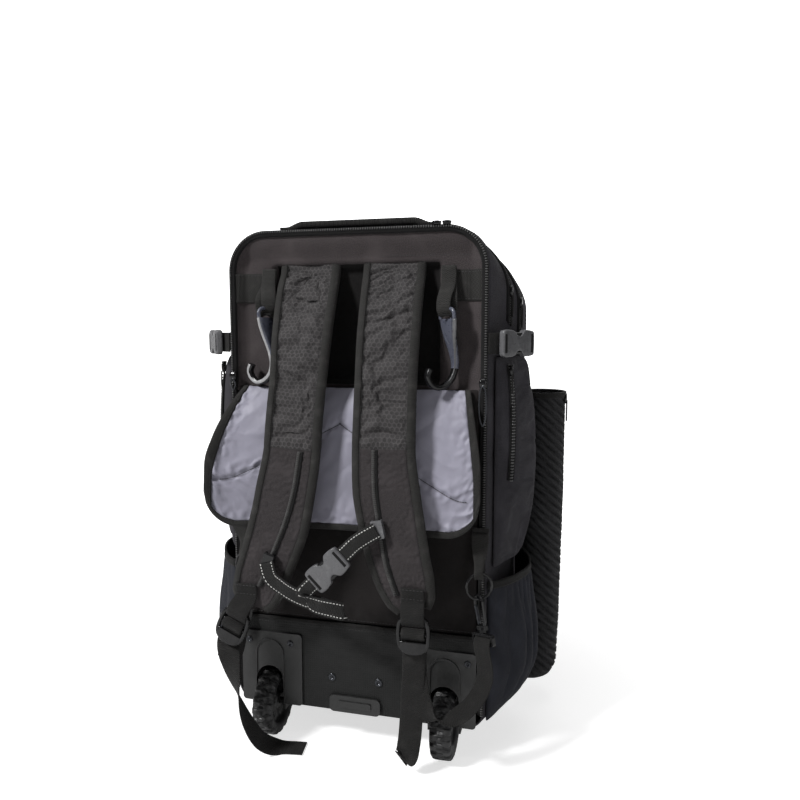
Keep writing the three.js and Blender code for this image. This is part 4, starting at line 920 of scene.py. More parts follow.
def bay_surface(u, v):
    """Wall of the strap bay, recessed where the straps are sewn in."""
    row = {key: column(BODY, key, "y", BAY["section"]) for key in ("half", "top", "high")}
    z = BAY["low"] + (BAY["high"] - BAY["low"]) * v
    rounding = row["high"] - BAY["inset"]
    rise = np.maximum(0, z - (row["top"] - BAY["inset"] - rounding))
    half = row["half"] - BAY["inset"] - rounding + np.sqrt(rounding**2 - rise**2)
    x = (2 * u - 1) * half
    across = 1 - smoothstep(np.abs(x), RECESS["half"], RECESS["half"] + RECESS["slope"])
    sill = smoothstep(z, RECESS["low"], RECESS["low"] + RECESS["ramp"])
    seam = smoothstep(z, RECESS["high"] + RECESS["ramp"], RECESS["high"])
    tuck = BAY["tuck"] * np.clip((RECESS["low"] - z) / (RECESS["low"] - BAY["low"]), 0, 1)
    return xyz(x, RECESS["wall"] + RECESS["deep"] * across * sill * seam - tuck, z)


def back_surface(u, v):
    low = PANEL["base"] + 1
    y = PANEL["y"] - PANEL["crown"] * pulse(u, 0.5) * pulse(v, 0.5)
    return xyz((2 * u - 1) * PANEL["half"], y, low + (PANEL["sill"] - low) * v)


def wall_rise(u, v):
    """How far the bay's wall comes forward to its zip, along the top and both sides."""
    top, sides = smoothstep(v, *WALL_RISE["top"]), smoothstep(np.abs(2 * u - 1), *WALL_RISE["sides"])
    return WALL_RISE["high"] * np.maximum(top, sides)


def wall_relief(u, v):
    """Faint upright creases in the bay's wall, flat at its edges and where the hooks' bands lie."""
    edge = pulse(u, 0.4) * pulse(v, 0.4) * smoothstep(np.abs(v - BAND_SHARE), *WALL_RISE["band"])
    return wall_rise(u, v) + edge * (1.0 * creases(u * 13, v * 1.3, 11) + 1.6 * noise(u * 5, v * 3, 12) - 0.6)


def make_panels():
    wall = slab("bay_wall", bay_surface, np.linspace(0, 1, 90), np.linspace(0, 1, 70), BAY["thick"], "cloth",
                -BAY["thick"], wall_relief, stands_for="bay_panel")
    centres = np.zeros(3 * len(wall.data.polygons))
    wall.data.polygons.foreach_get("center", centres)
    x, _, z = ((centres.reshape(-1, 3) - SHIFT) / MM).T
    # Faces in the recess between and beside the straps take the near-black cloth: painted shade.
    deep = (np.abs(x) < RECESS["half"] + 4) & (z > RECESS["low"]) & (z < RECESS["high"] + 5)
    second_paint(wall, "recess", deep)
    seam = (RECESS["high"] + 14 - BAY["low"]) / (BAY["high"] - BAY["low"])
    for name, v in (("upper", 0.985), ("seam", seam)):
        stitches(f"bay_wall_stitches_{name}", on_surface(bay_surface, np.linspace(0.06, 0.94, 120), v, 0.4))
    u, v = shares(60, 60)
    # The back panel takes the darkened cloth: painted shade under the flap and straps.
    pad = grid("back_panel", back_surface(u, v), "panel")
    sewn = from_edge(u, v, 2 * PANEL["half"], PANEL["sill"] - PANEL["base"] - 1) < PANEL["sewn"]
    soften(pad, sewn, 1.5, 0.02, 3.0, PANEL["thick"])
    stitches("back_panel_stitches", on_surface(back_surface, np.linspace(0.02, 0.98, 150), 0.018, 0.5))
    path = xyz(np.linspace(-PANEL["half"], PANEL["half"], 80), -1.6, PANEL["base"])
    sweep("base_binding", path, Z_AXIS, 4.4, 1.8, "tape")
    stitches("base_stitches", path + (0, -0.7, -5.0))


def make_haul_handle():
    """Padded webbing handle, sewn down at both ends on the top."""
    share = np.linspace(-1, 1, 90)
    rise, padding = (HANDLE[key] * smoothstep(1 - np.abs(share), *fade) for key, fade in HANDLE_FADE.items())
    path = xyz(share * HANDLE["half"], HANDLE["y"], HANDLE["low"] + rise - padding / 2)
    thick = HANDLE["thick"] + padding
    sweep("haul_handle", path, Y_AXIS, HANDLE["depth"], thick, "tape")
    reach, ends = HANDLE_SEAM["reach"], HANDLE_SEAM["ends"]
    y = np.linspace(HANDLE["y"] - reach, HANDLE["y"] + reach, 12)
    for sign in (-1, 1):
        for seam in HANDLE_SEAM["seams"]:
            x = sign * (HANDLE["half"] - HANDLE_SEAM["spread"] * (1 - seam))
            line = xyz(x, y, HANDLE["low"] + HANDLE["thick"] / 2)
            stitches(f"haul_handle_stitches_{sign + 1}_{int(100 * seam)}", line)
    for name, offset in ((0, -reach), (22, reach)):
        inner = path[ends:-ends] + (0, offset, 0)
        inner[:, 2] += thick[ends:-ends] / 2
        stitches(f"haul_handle_edge_{name}", inner)


# Flap of the strap bay

FLAP_ROWS = rows_of(
    "fall left_x left_y middle_y right_x right_y",
    (0, -147, -1.4, -0.4, 146, -1.4), (0.16, -156, -24, -14, 151, -15), (0.38, -166, -43, -20, 156, -22),
    (0.66, -175, -58, -26, 162, -28), (1, -176, -60, -30, 163, -34),
)
FLAP = {"top": 465.0, "bottom": 293.0, "corner": 46.0, "corner_share": 0.24, "wide": 330.0, "tall": 172.0,
        "thick": 0.6, "lift": 0.2, "seam_tall": 150.0}
APEX = {"u": 0.47, "v": 0.25, "left_v": 0.74, "right_v": 0.84}
# Depths of the flap's folds
FOLDS_IN_FLAP = {"rim": 3.4, "seam": 2.6, "stitch": 2.4, "slack": 2.0, "pull": 1.6, "corner": 6.5}
BINDING = {"side": 0.023, "end": 0.045, "thick": 3.6, "uneven": 0.16}
# Upper half of the binding's section: shares of its width and of half its thickness
BINDING_RINGS = [(0.0, 0.55), (0.12, 1.0), (0.5, 1.12), (0.9, 1.0), (1.0, 0.5),
                 (1.0, -0.5), (0.9, -1.0), (0.5, -1.05), (0.12, -1.0), (0.0, -0.55)]
BAY_PULLS = {"right": (161.0, 474.0, 50.0), "left": (-160.0, 478.0, 18.0)}
BAY_PULL_Y = -6.0


def flap_surface(u, v):
    keys = ("left_x", "left_y", "middle_y", "right_x", "right_y")
    left_x, left_y, middle_y, right_x, right_y = (column(FLAP_ROWS, key, "fall", v, 0.08) for key in keys)
    off = np.maximum(0, np.abs(2 * u - 1) - (1 - FLAP["corner_share"])) / FLAP["corner_share"]
    bottom = FLAP["bottom"] + FLAP["corner"] * (1 - np.sqrt(np.maximum(0, 1 - off**2)))
    bow = 1 - (2 * u - 1) ** 2
    y = (left_y + (right_y - left_y) * u) * (1 - bow) + middle_y * bow
    return xyz(left_x + (right_x - left_x) * u, y, FLAP["top"] + (bottom - FLAP["top"]) * v)


def dart(u):
    """Height on the flap of the two slanting seams that meet under the straps."""
    left = APEX["v"] + (APEX["left_v"] - APEX["v"]) * (APEX["u"] - u) / APEX["u"]
    right = APEX["v"] + (APEX["right_v"] - APEX["v"]) * (u - APEX["u"]) / (1 - APEX["u"])
    return np.where(u < APEX["u"], left, right)


def flap_relief(u, v):
    """Puckers along the bound edge and along the seams, creases at the corners, and slack between them."""
    deep = FOLDS_IN_FLAP
    from_side, from_end = np.minimum(u, 1 - u) * FLAP["wide"], (1 - v) * FLAP["tall"]
    rim = np.minimum(from_side, from_end)
    near_rim = np.exp(-np.maximum(rim - 9, 0) / 11)
    seam = (v - dart(u)) * FLAP["seam_tall"]
    pucker = noise(u * 46 + 0.6 * v, v * 22, 21)
    slack = noise(u * 5, v * 3.4, 22)
    pull = creases(u * 9 + 4 * v, v * 2.2, 23) - 0.6
    corner = creases(u * 12 - 7 * v, v * 5 + 3 * u, 25) * np.exp(-(from_end + from_side) / 70)
    relief = pucker * (deep["rim"] * near_rim + deep["seam"] * bell(seam, 9))
    relief -= deep["stitch"] * bell(seam, 2.6)
    relief += deep["slack"] * slack + deep["pull"] * pull * (1 - near_rim) - deep["corner"] * corner
    return np.clip((rim - 5) / 5, 0, 1) * relief


def make_flap():
    side, end = BINDING["side"], 1 - BINDING["end"]
    us, vs = np.linspace(side, 1 - side, 170), np.linspace(1 - end, 1, 100)
    flap = slab(
        "bay_flap", lambda u, v: flap_surface(u, 1 - v), us, vs, FLAP["thick"], "lining", FLAP["lift"],
        lambda u, v: flap_relief(u, 1 - v),
    )
    u = np.concatenate([np.zeros(60), np.linspace(0, 1, 160)[1:-1], np.ones(60)])
    v = np.concatenate([np.linspace(0, 1, 60), np.ones(158), np.linspace(1, 0, 60)])
    front = -normals(flap_surface, np.clip(u, 0.05, 0.95), np.clip(v, 0.05, 0.95))
    outer, inner = flap_surface(u, v), flap_surface(side + (1 - 2 * side) * u, v * end)
    thick = BINDING["thick"] / 2 * (1 + BINDING["uneven"] * noise(lengths(outer) / 14, 0.5, 24))

    def on_binding(share, rise):
        return outer + (inner - outer) * share - front * (thick * rise)[:, None]

    rings = np.stack([on_binding(share, rise) for share, rise in BINDING_RINGS], axis=1)
    binding = grid("flap_binding", rings, "binding", 0.0, True)
    stitches("flap_binding_stitches", on_binding(0.8, -1.05), "dark_thread")
    for name, us in (("left", np.linspace(0.05, APEX["u"], 80)), ("right", np.linspace(APEX["u"], 0.95, 80))):
        seam = on_surface(flap_surface, us, dart(us), 0.5)
        stitches(f"flap_seam_{name}", seam, "dark_thread", 3.0, 2.6, 1.0)


def make_bay_pulls():
    for side, (x, z, length) in BAY_PULLS.items():
        at = np.array((x, BAY_PULL_Y, z))
        slider(f"bay_slider_{side}", at, "bay", stands_for=f"bay_zip_pull_{side}")
        loop = [(0, -2, -2), (3, -2, -8), (3.2, -1, -length + 8), (0, -0.6, -length), (-3.2, -1, -length + 8),
                (-3, -2, -8), (0, -2, -2)]
        tube(f"bay_pull_{side}", at + curve(loop, 60), 1.9, "metal")


# Shoulder straps

STRAP = "z x half y"
STRAPS = {
    "right": rows_of(
        STRAP,
        (618, 49, 39, 15.5), (606, 49, 39, 13), (590, 49.3, 38.7, 4), (560, 49.5, 38.3, -9),
        (525, 49.5, 38, -21), (477, 49.5, 37.5, -31), (430, 49.5, 37.7, -38), (388, 50, 38.3, -43),
        (348, 54, 40.5, -47), (313, 60.5, 40, -50), (277, 67.5, 38.7, -50), (241, 77, 36, -48),
        (218, 84, 30, -46), (207, 87, 22, -45),
    ),
    "left": rows_of(
        STRAP,
        (618, -60, 39, 15.5), (606, -60, 39, 13), (590, -60, 39.5, 4), (560, -60, 39, -9),
        (525, -60, 38, -21), (476, -61, 36, -31), (427, -64, 36, -38), (384, -66, 36.5, -43),
        (341, -73, 38, -47), (303, -80, 38.5, -50), (265, -93, 36.5, -50), (228, -107, 35, -48),
        (206, -116, 31, -46), (194, -120, 23, -45),
    ),
}
STRAP_STEPS = 190
STRAP_THICK = 12.0
STRAP_SEAM = {"right": 398.0, "left": 392.0}
# What the plain lower part, the ends and the seam take off a strap's thickness
STRAP_THIN = {"plain": 2.6, "end": 0.4, "seam": 0.22}
STRAP_CLOTH = {"pressure": 3.0, "growth": 0.14, "cap": 5.5, "edge": 0.37, "plain": 0.75}
# Where a strap's thickness changes: from its ends, past its seam, and beside the seam's line
STRAP_FADE = {"ends": (-6, 14), "plain": np.array((-4, 8)), "seam": 2.5}
STRAP_BAND = {"wide": 9.6, "past": 0.3, "share": 0.9, "extra": 1.6, "stitches": 0.9}
# Folds of a strap: how they slant and wander, their pitches, depths and seeds
WRINKLES = {"slant": 9, "wander": 7, "fold": 15, "fine": 9, "above": (8, 30), "deep": (0.7, 0.26, 0.5),
            "seeds": (51, 61, 71)}
RAILS = {
    "right": rows_of("z offset", (397, -11), (348, -13), (305, -14), (262, -16), (226, -15)),
    "left": rows_of("z offset", (391, 12), (345, 12), (308, 9), (262, 5), (222, 2)),
}
# The groove is a near-black tube beside each rail: painted shade along its side.
RAIL = {"wire": 4.6, "sunk": 0.2, "groove": 3.4, "beside": (3.7, 0.9, 0.0), "steps": 60}
FACE = np.linspace(-1, 1, 33)
PAD = np.concatenate([
    np.stack([FACE / 2, -0.5 + 0.26 * np.abs(FACE) ** 5], axis=1),
    np.stack([FACE / 2, 0.5 - 0.26 * np.abs(FACE) ** 5], axis=1)[::-1],
])
BOUND = np.array([
    (-0.5, -0.14), (-0.44, -0.3), (0.0, -0.42), (0.46, -0.5), (0.5, -0.42),
    (0.5, 0.42), (0.46, 0.5), (0.0, 0.42), (-0.44, 0.3), (-0.5, 0.14),
])


def strap_line(side):
    """Middle line of a strap with its half width."""
    rows = STRAPS[side]
    path = curve([(row["x"], row["y"], row["z"]) for row in rows], STRAP_STEPS)
    return path, along_rows(rows, "half", STRAP_STEPS)


def on_strap(side, across, lift):
    """Line along a strap's face: across is in half widths, lift is from its middle."""
    path, half = strap_line(side)
    along = unit(np.gradient(path, axis=0))
    normal = unit(np.cross(along, X_AXIS))
    sideways = np.cross(normal, along)
    return path + sideways * (across * half)[:, None] + normal * np.broadcast_to(lift, half.shape)[:, None]


def strap_at(side, key, z):
    return column(STRAPS[side], key, "z", z)


def strap_wrinkles(run, above, seed):
    """How far folds sink into a strap's pad, as a share of its thickness: mostly crosswise, and one
    above its seam."""
    across = 2 * PAD[None, :, 0]
    first, second, third = (start + seed for start in WRINKLES["seeds"])
    wander = WRINKLES["wander"] * noise(run[:, None] / 40, across * 0.8, first)
    slant = run[:, None] + WRINKLES["slant"] * seed * across + wander
    folds = 1 - creases(slant / WRINKLES["fold"], across * 0.5 + 4, second)
    fine = (1 - creases(slant / WRINKLES["fine"], across * 1.5, third)) ** 2
    upper = smoothstep(above, *WRINKLES["above"])[:, None]
    hollow = bell(above[:, None] - 14 - 3 * np.cos(2 * across), 4.0)
    fold_deep, fine_deep, hollow_deep = WRINKLES["deep"]
    sunk = upper * (fold_deep * folds + fine_deep * fine) + hollow_deep * hollow
    return (1 - np.abs(across) ** 8) * sunk


def make_strap(side):
    path, half = strap_line(side)
    seam, height, run = STRAP_SEAM[side], path[:, 2], lengths(path)
    ends = smoothstep(np.minimum(run, run[-1] - run), *STRAP_FADE["ends"])
    thick = STRAP_THICK - STRAP_THIN["plain"] * (1 - smoothstep(height, *(seam + STRAP_FADE["plain"])))
    seam_line = bell(height - seam, STRAP_FADE["seam"])
    thick = thick * (1 - STRAP_THIN["end"] * (1 - ends)) * (1 - STRAP_THIN["seam"] * seam_line)
    wrinkled = thick[:, None] * (1 - strap_wrinkles(run, height - seam, SIDES[side]))
    pad = sweep(f"shoulder_strap_{side}", path, X_AXIS, 2 * half - 3, wrinkled, "hex", PAD)
    second_paint(pad, "strap", np.concatenate([np.repeat(height[1:] < seam - 1, len(PAD)), [False, True]]))
    sewn_edge = np.abs(PAD[:, 0]) > STRAP_CLOTH["edge"]
    fixed = (np.abs(height - seam) < 3) | (ends < 0.95)
    sewn = np.maximum(fixed[:, None] | sewn_edge[None, :], STRAP_CLOTH["plain"] * (height < seam)[:, None])
    soften(pad, sewn, *(STRAP_CLOTH[key] for key in ("pressure", "growth", "cap")))
    for edge, sign in (("inner", -SIDES[side]), ("outer", SIDES[side])):
        wide = STRAP_BAND["wide"]
        path = on_strap(side, sign * (half - wide / 2 + STRAP_BAND["past"]) / half, 0.0)
        deep = thick * STRAP_BAND["share"] + STRAP_BAND["extra"]
        profile = BOUND if sign < 0 else BOUND[::-1] * (-1, 1)
        sweep(f"strap_binding_{side}_{edge}", path, X_AXIS, wide, deep, "binding", profile)
        line = on_strap(side, sign * (half - wide - STRAP_BAND["stitches"]) / half, thick * 0.5 + 0.1)
        stitches(f"strap_stitches_{side}_{edge}", line[2:-2], "dark_thread")
    index = int(np.argmin(np.abs(height - seam - 2)))
    face = [np.full(len(half), across) for across in np.linspace(-0.72, 0.72, 30)]
    line = np.stack([on_strap(side, across, thick * 0.5)[index] for across in face])
    stitches(f"strap_seam_{side}", line, "dark_thread", 3.2, 2.4)
    front = STRAP_THICK / 2 - RAIL["sunk"]
    rail = []
    for row in RAILS[side]:
        x, y = (strap_at(side, key, row["z"]) for key in ("x", "y"))
        rail.append((x + row["offset"], y - front, row["z"]))
    rail = curve(rail, RAIL["steps"])
    tube(f"strap_rail_{side}", rail, RAIL["wire"], "cord")
    # Near-black tube beside the rail: painted shade along the rail's side.
    tube(f"strap_groove_{side}", rail + RAIL["beside"], RAIL["groove"], "lip")


# Webbing and locks below the straps

WEBBING = {"thick": 1.7, "wide": 28.0, "narrow": 20.0, "ring": 11.0, "hook": 18.0}
LOCKS = {
    "right": {"at": (89.0, -55.0, 182.0), "tilt": 0.0, "tab_x": 88.0},
    "left": {"at": (-143.0, -55.0, 168.0), "tilt": 24.0, "tab_x": -124.0},
}
LOCK = {"half": 18.0, "tall": 21.5, "middle": -0.5, "deep": 7.0, "wire": 4.6, "square": 0.62, "bar": 4.4}
LOCK_BARS = {"upper": 15.6, "lower": 0.0}
TONGUE = {"out": 1.6, "lean": 2.4, "top": -9.5, "tall": 14.5, "thick": 2.6}
TAB = {"low": 14.0, "tall": 16.0, "half": 11.0, "gap": 1.2}
# Places of webbing in a ladder lock, as out of its face and up it
TAB_IN_LOCK = ((6, 26), (5.2, 20), (4.6, 16), (0, 10.6), (-4.6, 15))
TAIL_IN_LOCK = ((-9, -22), (-6, 0.5), (0, 6), (4.1, 2.5), (4.1, -2.5), (0, -6.4), (-4.6, -16), (-4.4, -25))
RING = {"y": -13.0, "z": 231.0, "radius": 16.0, "turn": 25.0, "left": -147.0, "right": 160.0}
RING_SEAM = {"x": 160.0, "z": 300.0}
SNAP = {"turn": -40.0, "tilt": 12.0, "seat": -18.35, "eye": -45.0}
SNAP_LOOP = ((5, -9), (4.6, -4.4), (0, 2), (-4.6, -4.4), (-5, -10))
TAILS = {
    "right": {
        "slack": [(170, -26, 124), (158, -38, 98), (132, -50, 80), (105, -52, 84), (91, -46, 120)],
        "tail": [(88, -48, 140), (86, -49, 90), (83, -50, 45), (79, -52, 26), (73, -51, 23)],
        "end": X_AXIS,
    },
    "left": {
        "slack": [(-158, -26, 124), (-160, -36, 116), (-155, -44, 128)],
        "tail": [(-146, -58, 122), (-134, -64, 84), (-122, -64, 50), (-108, -52, 18), (-92, -36, 3.4),
                 (-74, -31, 1.8), (-60, -29, 1.8)],
        "end": -Y_AXIS,
    },
}


def in_lock(side, points):
    """Points or one point of a ladder lock's own frame, in the bag."""
    return turned(points, 1, LOCKS[side]["tilt"]) + LOCKS[side]["at"]


def in_snap(side, vector):
    """A direction of a snap hook's own frame, in the bag."""
    sign = SIDES[side]
    return turned(turned(vector, 1, -sign * SNAP["tilt"]), 2, sign * SNAP["turn"])


def band(name, points, across, width, paint="tape"):
    """Webbing on a smooth curve; across gives the direction of its width at shares of its length."""
    count = 8 * (len(points) - 1)
    sweep(name, curve(points, count), across(np.linspace(0, 1, count + 1)), width, WEBBING["thick"], paint)


def loop_band(name, points, turn, ends, middle):
    """Webbing folded through something: its middle turns about Z and may be narrower."""
    count = 8 * (len(points) - 1)
    share = smoothstep(0.5 - np.abs(np.linspace(0, 1, count + 1) - 0.5), 0.05, 0.28)
    across = blended(X_AXIS, turned(X_AXIS, 2, turn), share)
    sweep(name, curve(points, count), across, ends + (middle - ends) * share, WEBBING["thick"], "binding")


def make_lock(side):
    """Rounded ladder lock: a frame, two bars for the webbing and a tongue to lift it by."""
    turn = circle(84)
    waves = np.cos(turn), np.sin(turn)
    round_x, round_z = (np.sign(wave) * np.abs(wave) ** LOCK["square"] for wave in waves)
    ring = in_lock(side, xyz(LOCK["half"] * round_x, 0, LOCK["middle"] + LOCK["tall"] * round_z))
    sweep(f"ladder_lock_{side}", ring, Y_AXIS, LOCK["deep"], LOCK["wire"], "gloss", SQUARED, True)
    for name, up in LOCK_BARS.items():
        bar = xyz(np.linspace(-LOCK["half"], LOCK["half"], 24), 0, up)
        tube(f"ladder_lock_bar_{side}_{name}", in_lock(side, bar), LOCK["bar"], "gloss")
    share = np.linspace(0, 0.97, 24)
    tongue = xyz(0, -TONGUE["out"] - TONGUE["lean"] * share, TONGUE["top"] - TONGUE["tall"] * share)
    sweep(f"ladder_lock_tongue_{side}", in_lock(side, tongue), turned(X_AXIS, 1, LOCKS[side]["tilt"]),
          2 * LOCK["half"] * np.sqrt(1 - share**3), TONGUE["thick"], "gloss", SQUARED)


def make_lock_tab(side):
    """Webbing that is sewn on a strap's end and goes round the lock's upper bar."""
    tab_x = LOCKS[side]["tab_x"]
    low = STRAPS[side][-1]["z"] + TAB["low"]
    high = low + TAB["tall"]
    face = STRAP_THICK / 2 + WEBBING["thick"] / 2 + TAB["gap"]
    points = [(tab_x, strap_at(side, "y", z) - face, z) for z in (high, low)]
    points += [in_lock(side, (0, -out, up)) for out, up in TAB_IN_LOCK]
    across = turned(X_AXIS, 1, LOCKS[side]["tilt"])
    band(f"lock_tab_{side}", points, lambda t: blended(X_AXIS, across, smoothstep(t, 0, 0.4)),
         WEBBING["wide"])
    x = np.linspace(tab_x - TAB["half"], tab_x + TAB["half"], 12)
    for place, z in (("upper", high - 2), ("lower", low + 3)):
        stitches(f"lock_tab_stitches_{side}_{place}", xyz(x, strap_at(side, "y", z) - face - 1.0, z))


def make_strap_webbing(side):
    """One length of webbing: snap hook, slack, up through the ladder lock and down into the tail."""
    route = TAILS[side]
    seat = np.array((RING[side], RING["y"], RING["z"] + SNAP["seat"]))
    lead = [in_snap(side, (0, y, SNAP["eye"] + z)) + seat for y, z in SNAP_LOOP]
    lead += route["slack"]
    lead += [in_lock(side, (0, -out, up)) for out, up in TAIL_IN_LOCK]
    points = lead + route["tail"]
    start = (len(lead) - 1) / (len(points) - 1)
    snap, lock = in_snap(side, X_AXIS), turned(X_AXIS, 1, LOCKS[side]["tilt"])

    def across(t):
        first = blended(snap, lock, smoothstep(t, 0.27 * start, 0.6 * start))
        last = blended(lock, route["end"], smoothstep(t, start, 0.86))
        return np.where((t < start)[:, None], first, last)

    band(f"strap_webbing_{side}", points, across, WEBBING["wide"])


def make_ring_tab(side):
    sign = SIDES[side]
    x, y, z = RING[side], RING["y"], RING["z"]
    top = z + RING["radius"]
    seam = np.array((sign * RING_SEAM["x"], EDGE_FRONT - 0.4 - WEBBING["thick"] / 2, RING_SEAM["z"]))
    points = [seam, (x, y + 6, z + 34), (x, y + 5.6, top + 2), (x, y, top - 6.6), (x, y - 5.6, top + 2),
              (x, y + 1, z + 36), seam + (0, -2.8, -6)]
    loop_band(f"ring_tab_{side}", points, sign * RING["turn"], WEBBING["narrow"], WEBBING["ring"])


# Sternum strap and side release buckles

STERNUM = {"at": (-10.0, -72.0, 257.0), "tilt": -45.0, "reach": 26.8, "slider": 7.0}
STERNUM_HEIGHTS = {"right": 306.0, "left": 256.0}
STERNUM_SLACK = {
    "right": [(36, -68, 299), (22, -70, 289)],
    "left": [(-86, -65.5, 238), (-74, -65.5, 229), (-55, -67, 220), (-25, -66, 211), (2, -66, 206),
             (9, -71, 207), (-2, -77, 211), (-28, -79, 217), (-39, -75, 226)],
}
# Half of a buckle's outline, along it and out from its middle
BUCKLE_EDGE = [
    (-26, 11), (-25, 14.4), (-21, 16), (-10, 15.4), (-6, 13.6), (-3.4, 10.4), (0, 8.8), (3.5, 9.2),
    (6.5, 12.6), (9, 15.4), (13, 16), (22, 15), (25.4, 13.6), (26, 11),
]
# Its rounded section, as shares of the outline and of the thickness
BUCKLE_RINGS = [
    (0.02, -0.5), (0.5, -0.5), (0.9, -0.5), (0.965, -0.46), (0.995, -0.36), (1.0, -0.2), (1.0, 0.2),
    (0.995, 0.36), (0.965, 0.46), (0.9, 0.5), (0.02, 0.5),
]
BUCKLE = {"thick": 8.0, "slot_x": 21.5, "slot_half": 11.0, "slot_wide": 3.4, "slot_thick": 0.7}
BUCKLE_ARM = {"from": -9.0, "to": 10.0, "y": -0.6, "z": 10.2, "thick": 5.4}
BUCKLE_RUN = np.array([(180.0, 9.0, 521.0), (205.0, 39.0, 521.0)])
BUCKLE_STAND = 6.85


def make_sternum_webbing(side):
    z = STERNUM_HEIGHTS[side]
    x = strap_at(side, "x", z) + column(RAILS[side], "offset", "z", z)
    start = (x, strap_at(side, "y", z) - STRAP_THICK / 2 - STERNUM["slider"] - 3, z)
    reach = SIDES[side] * STERNUM["reach"]
    ends = [turned((share * reach, 0, 0), 1, STERNUM["tilt"]) + STERNUM["at"] for share in (1.25, 1.0)]
    upright = turned(Z_AXIS, 1, STERNUM["tilt"])
    band(f"sternum_webbing_{side}", [start, *STERNUM_SLACK[side], *ends],
         lambda t: blended(Z_AXIS, upright, smoothstep(t, 0, 1)), WEBBING["narrow"], "dashes")


def make_buckle(name, place):
    """Buckle with a waist that shows its two arms, and a slot at each end; place puts it in the bag."""
    ring = BUCKLE_EDGE + [(along, -half) for along, half in BUCKLE_EDGE[::-1]] + BUCKLE_EDGE[:1]
    edge = resampled(curve([(x, 0, z) for x, z in ring], 240), 1.4)[:-1]
    points = np.stack([edge * share + (0, BUCKLE["thick"] * depth, 0) for share, depth in BUCKLE_RINGS])
    grid(name, place(points), "grey", 0.0, True)
    for end, sign in (("upper", 1), ("lower", -1)):
        along = np.linspace(BUCKLE_ARM["from"], BUCKLE_ARM["to"], 20)
        arm = xyz(along, BUCKLE_ARM["y"], sign * BUCKLE_ARM["z"])
        tube(f"{name}_arm_{end}", place(arm), BUCKLE_ARM["thick"], "gloss")
    # Near-black strips on the face stand for the slots' openings: the black webbing in them and painted
    # shade.
    front = -BUCKLE["thick"] / 2 - 0.05
    for end, sign in (("first", -1), ("last", 1)):
        across = np.linspace(-BUCKLE["slot_half"], BUCKLE["slot_half"], 12)
        slot = place(xyz(sign * BUCKLE["slot_x"], front, across))
        along = place(X_AXIS) - place((0, 0, 0))
        sweep(f"{name}_slot_{end}", slot, along, BUCKLE["slot_wide"], BUCKLE["slot_thick"], "lip")


def make_buckles():
    make_buckle("sternum_buckle", lambda points: turned(points, 1, STERNUM["tilt"]) + STERNUM["at"])
    run = unit(BUCKLE_RUN[1] - BUCKLE_RUN[0])
    middle = BUCKLE_RUN.mean(axis=0) + BUCKLE_STAND * np.cross(run, Z_AXIS)
    turn = math.degrees(math.atan2(run[1], run[0]))
    for side in SIDES:
        make_buckle(f"compression_buckle_{side}",
                    lambda points: mirrored(turned(points, 2, turn) + middle, side))


# Fence hooks

HOOK_Y = -8.0
# The rim column names the paint of the pale tube along each hook's edge, a painted highlight; the right
# hook's uses the grey plastic.
HOOKS = dict(zip(SIDES, rows_of(
    "x top turn rim thick shield steps",
    (-112.0, 565.0, -105.0, "rim", 2.8, 0.4, 81), (118.0, 563.0, -45.0, "grey", 1.2, 5.0, 44),
)))
HOOK_ROWS = rows_of(
    "lean z wide thick",
    (1.2, -13, 32.5, 5), (2.6, -24, 29, 5.2), (4.4, -34, 23.5, 5.5), (10, -54, 14, 6.5), (12, -70, 10, 7),
    (7, -84, 9, 7), (-3, -92, 9, 6.5), (-14, -94, 8.5, 6), (-23, -89, 8, 6), (-27, -80, 8, 6),
    (-24, -72, 8, 7),
)
HOOK_STEPS = 80
# Pale rim of a hook, a painted highlight along its lit edge: inset from its edge, shares of its thickness,
# and heights where it widens
HOOK_HIGHLIGHT_RIM = {"inset": 1.2, "out": 0.2, "thick": 0.8, "shield": (-60, -20)}
# Ring of a hook's sweep from which its J is painted glossy black: painted shade.
HOOK_PAINTED_SHADE_FROM = 33
HOOK_SLOT = {"wide": 27.5, "low": -14.0, "high": -2.2, "wire": 4.6, "corner": 4.0}
# Outline of the hollow in a hook's shield, and places of the webbing round its bar
HOOK_HOLLOW = [(10, -12), (9.6, -22), (6, -36), (0, -43), (-6, -36), (-9.6, -22), (-10, -12)]
HOOK_LOOP = ((4.6, 9), (4.6, -3.4), (0, -9.4), (-4.6, -3.4), (-4.6, 9))
HOOK_BAND = {"z": 589.5, "wide": 37.0, "thick": 1.2, "seam": 16.0}
# Depths and heights where a hook's webbing is sewn in, before and after its loop
HOOK_SEWN = (((7, 611), (5, 596)), ((0.5, 592), (3.8, 613)))
# Near-black strip in a hook's slot, the black webbing in it and painted shade: half width, out, below, wide,
# thick.
HOOK_LIP = {"half": 9.6, "out": 6.4, "below": 9.0, "wide": 2.6, "thick": 1.0}


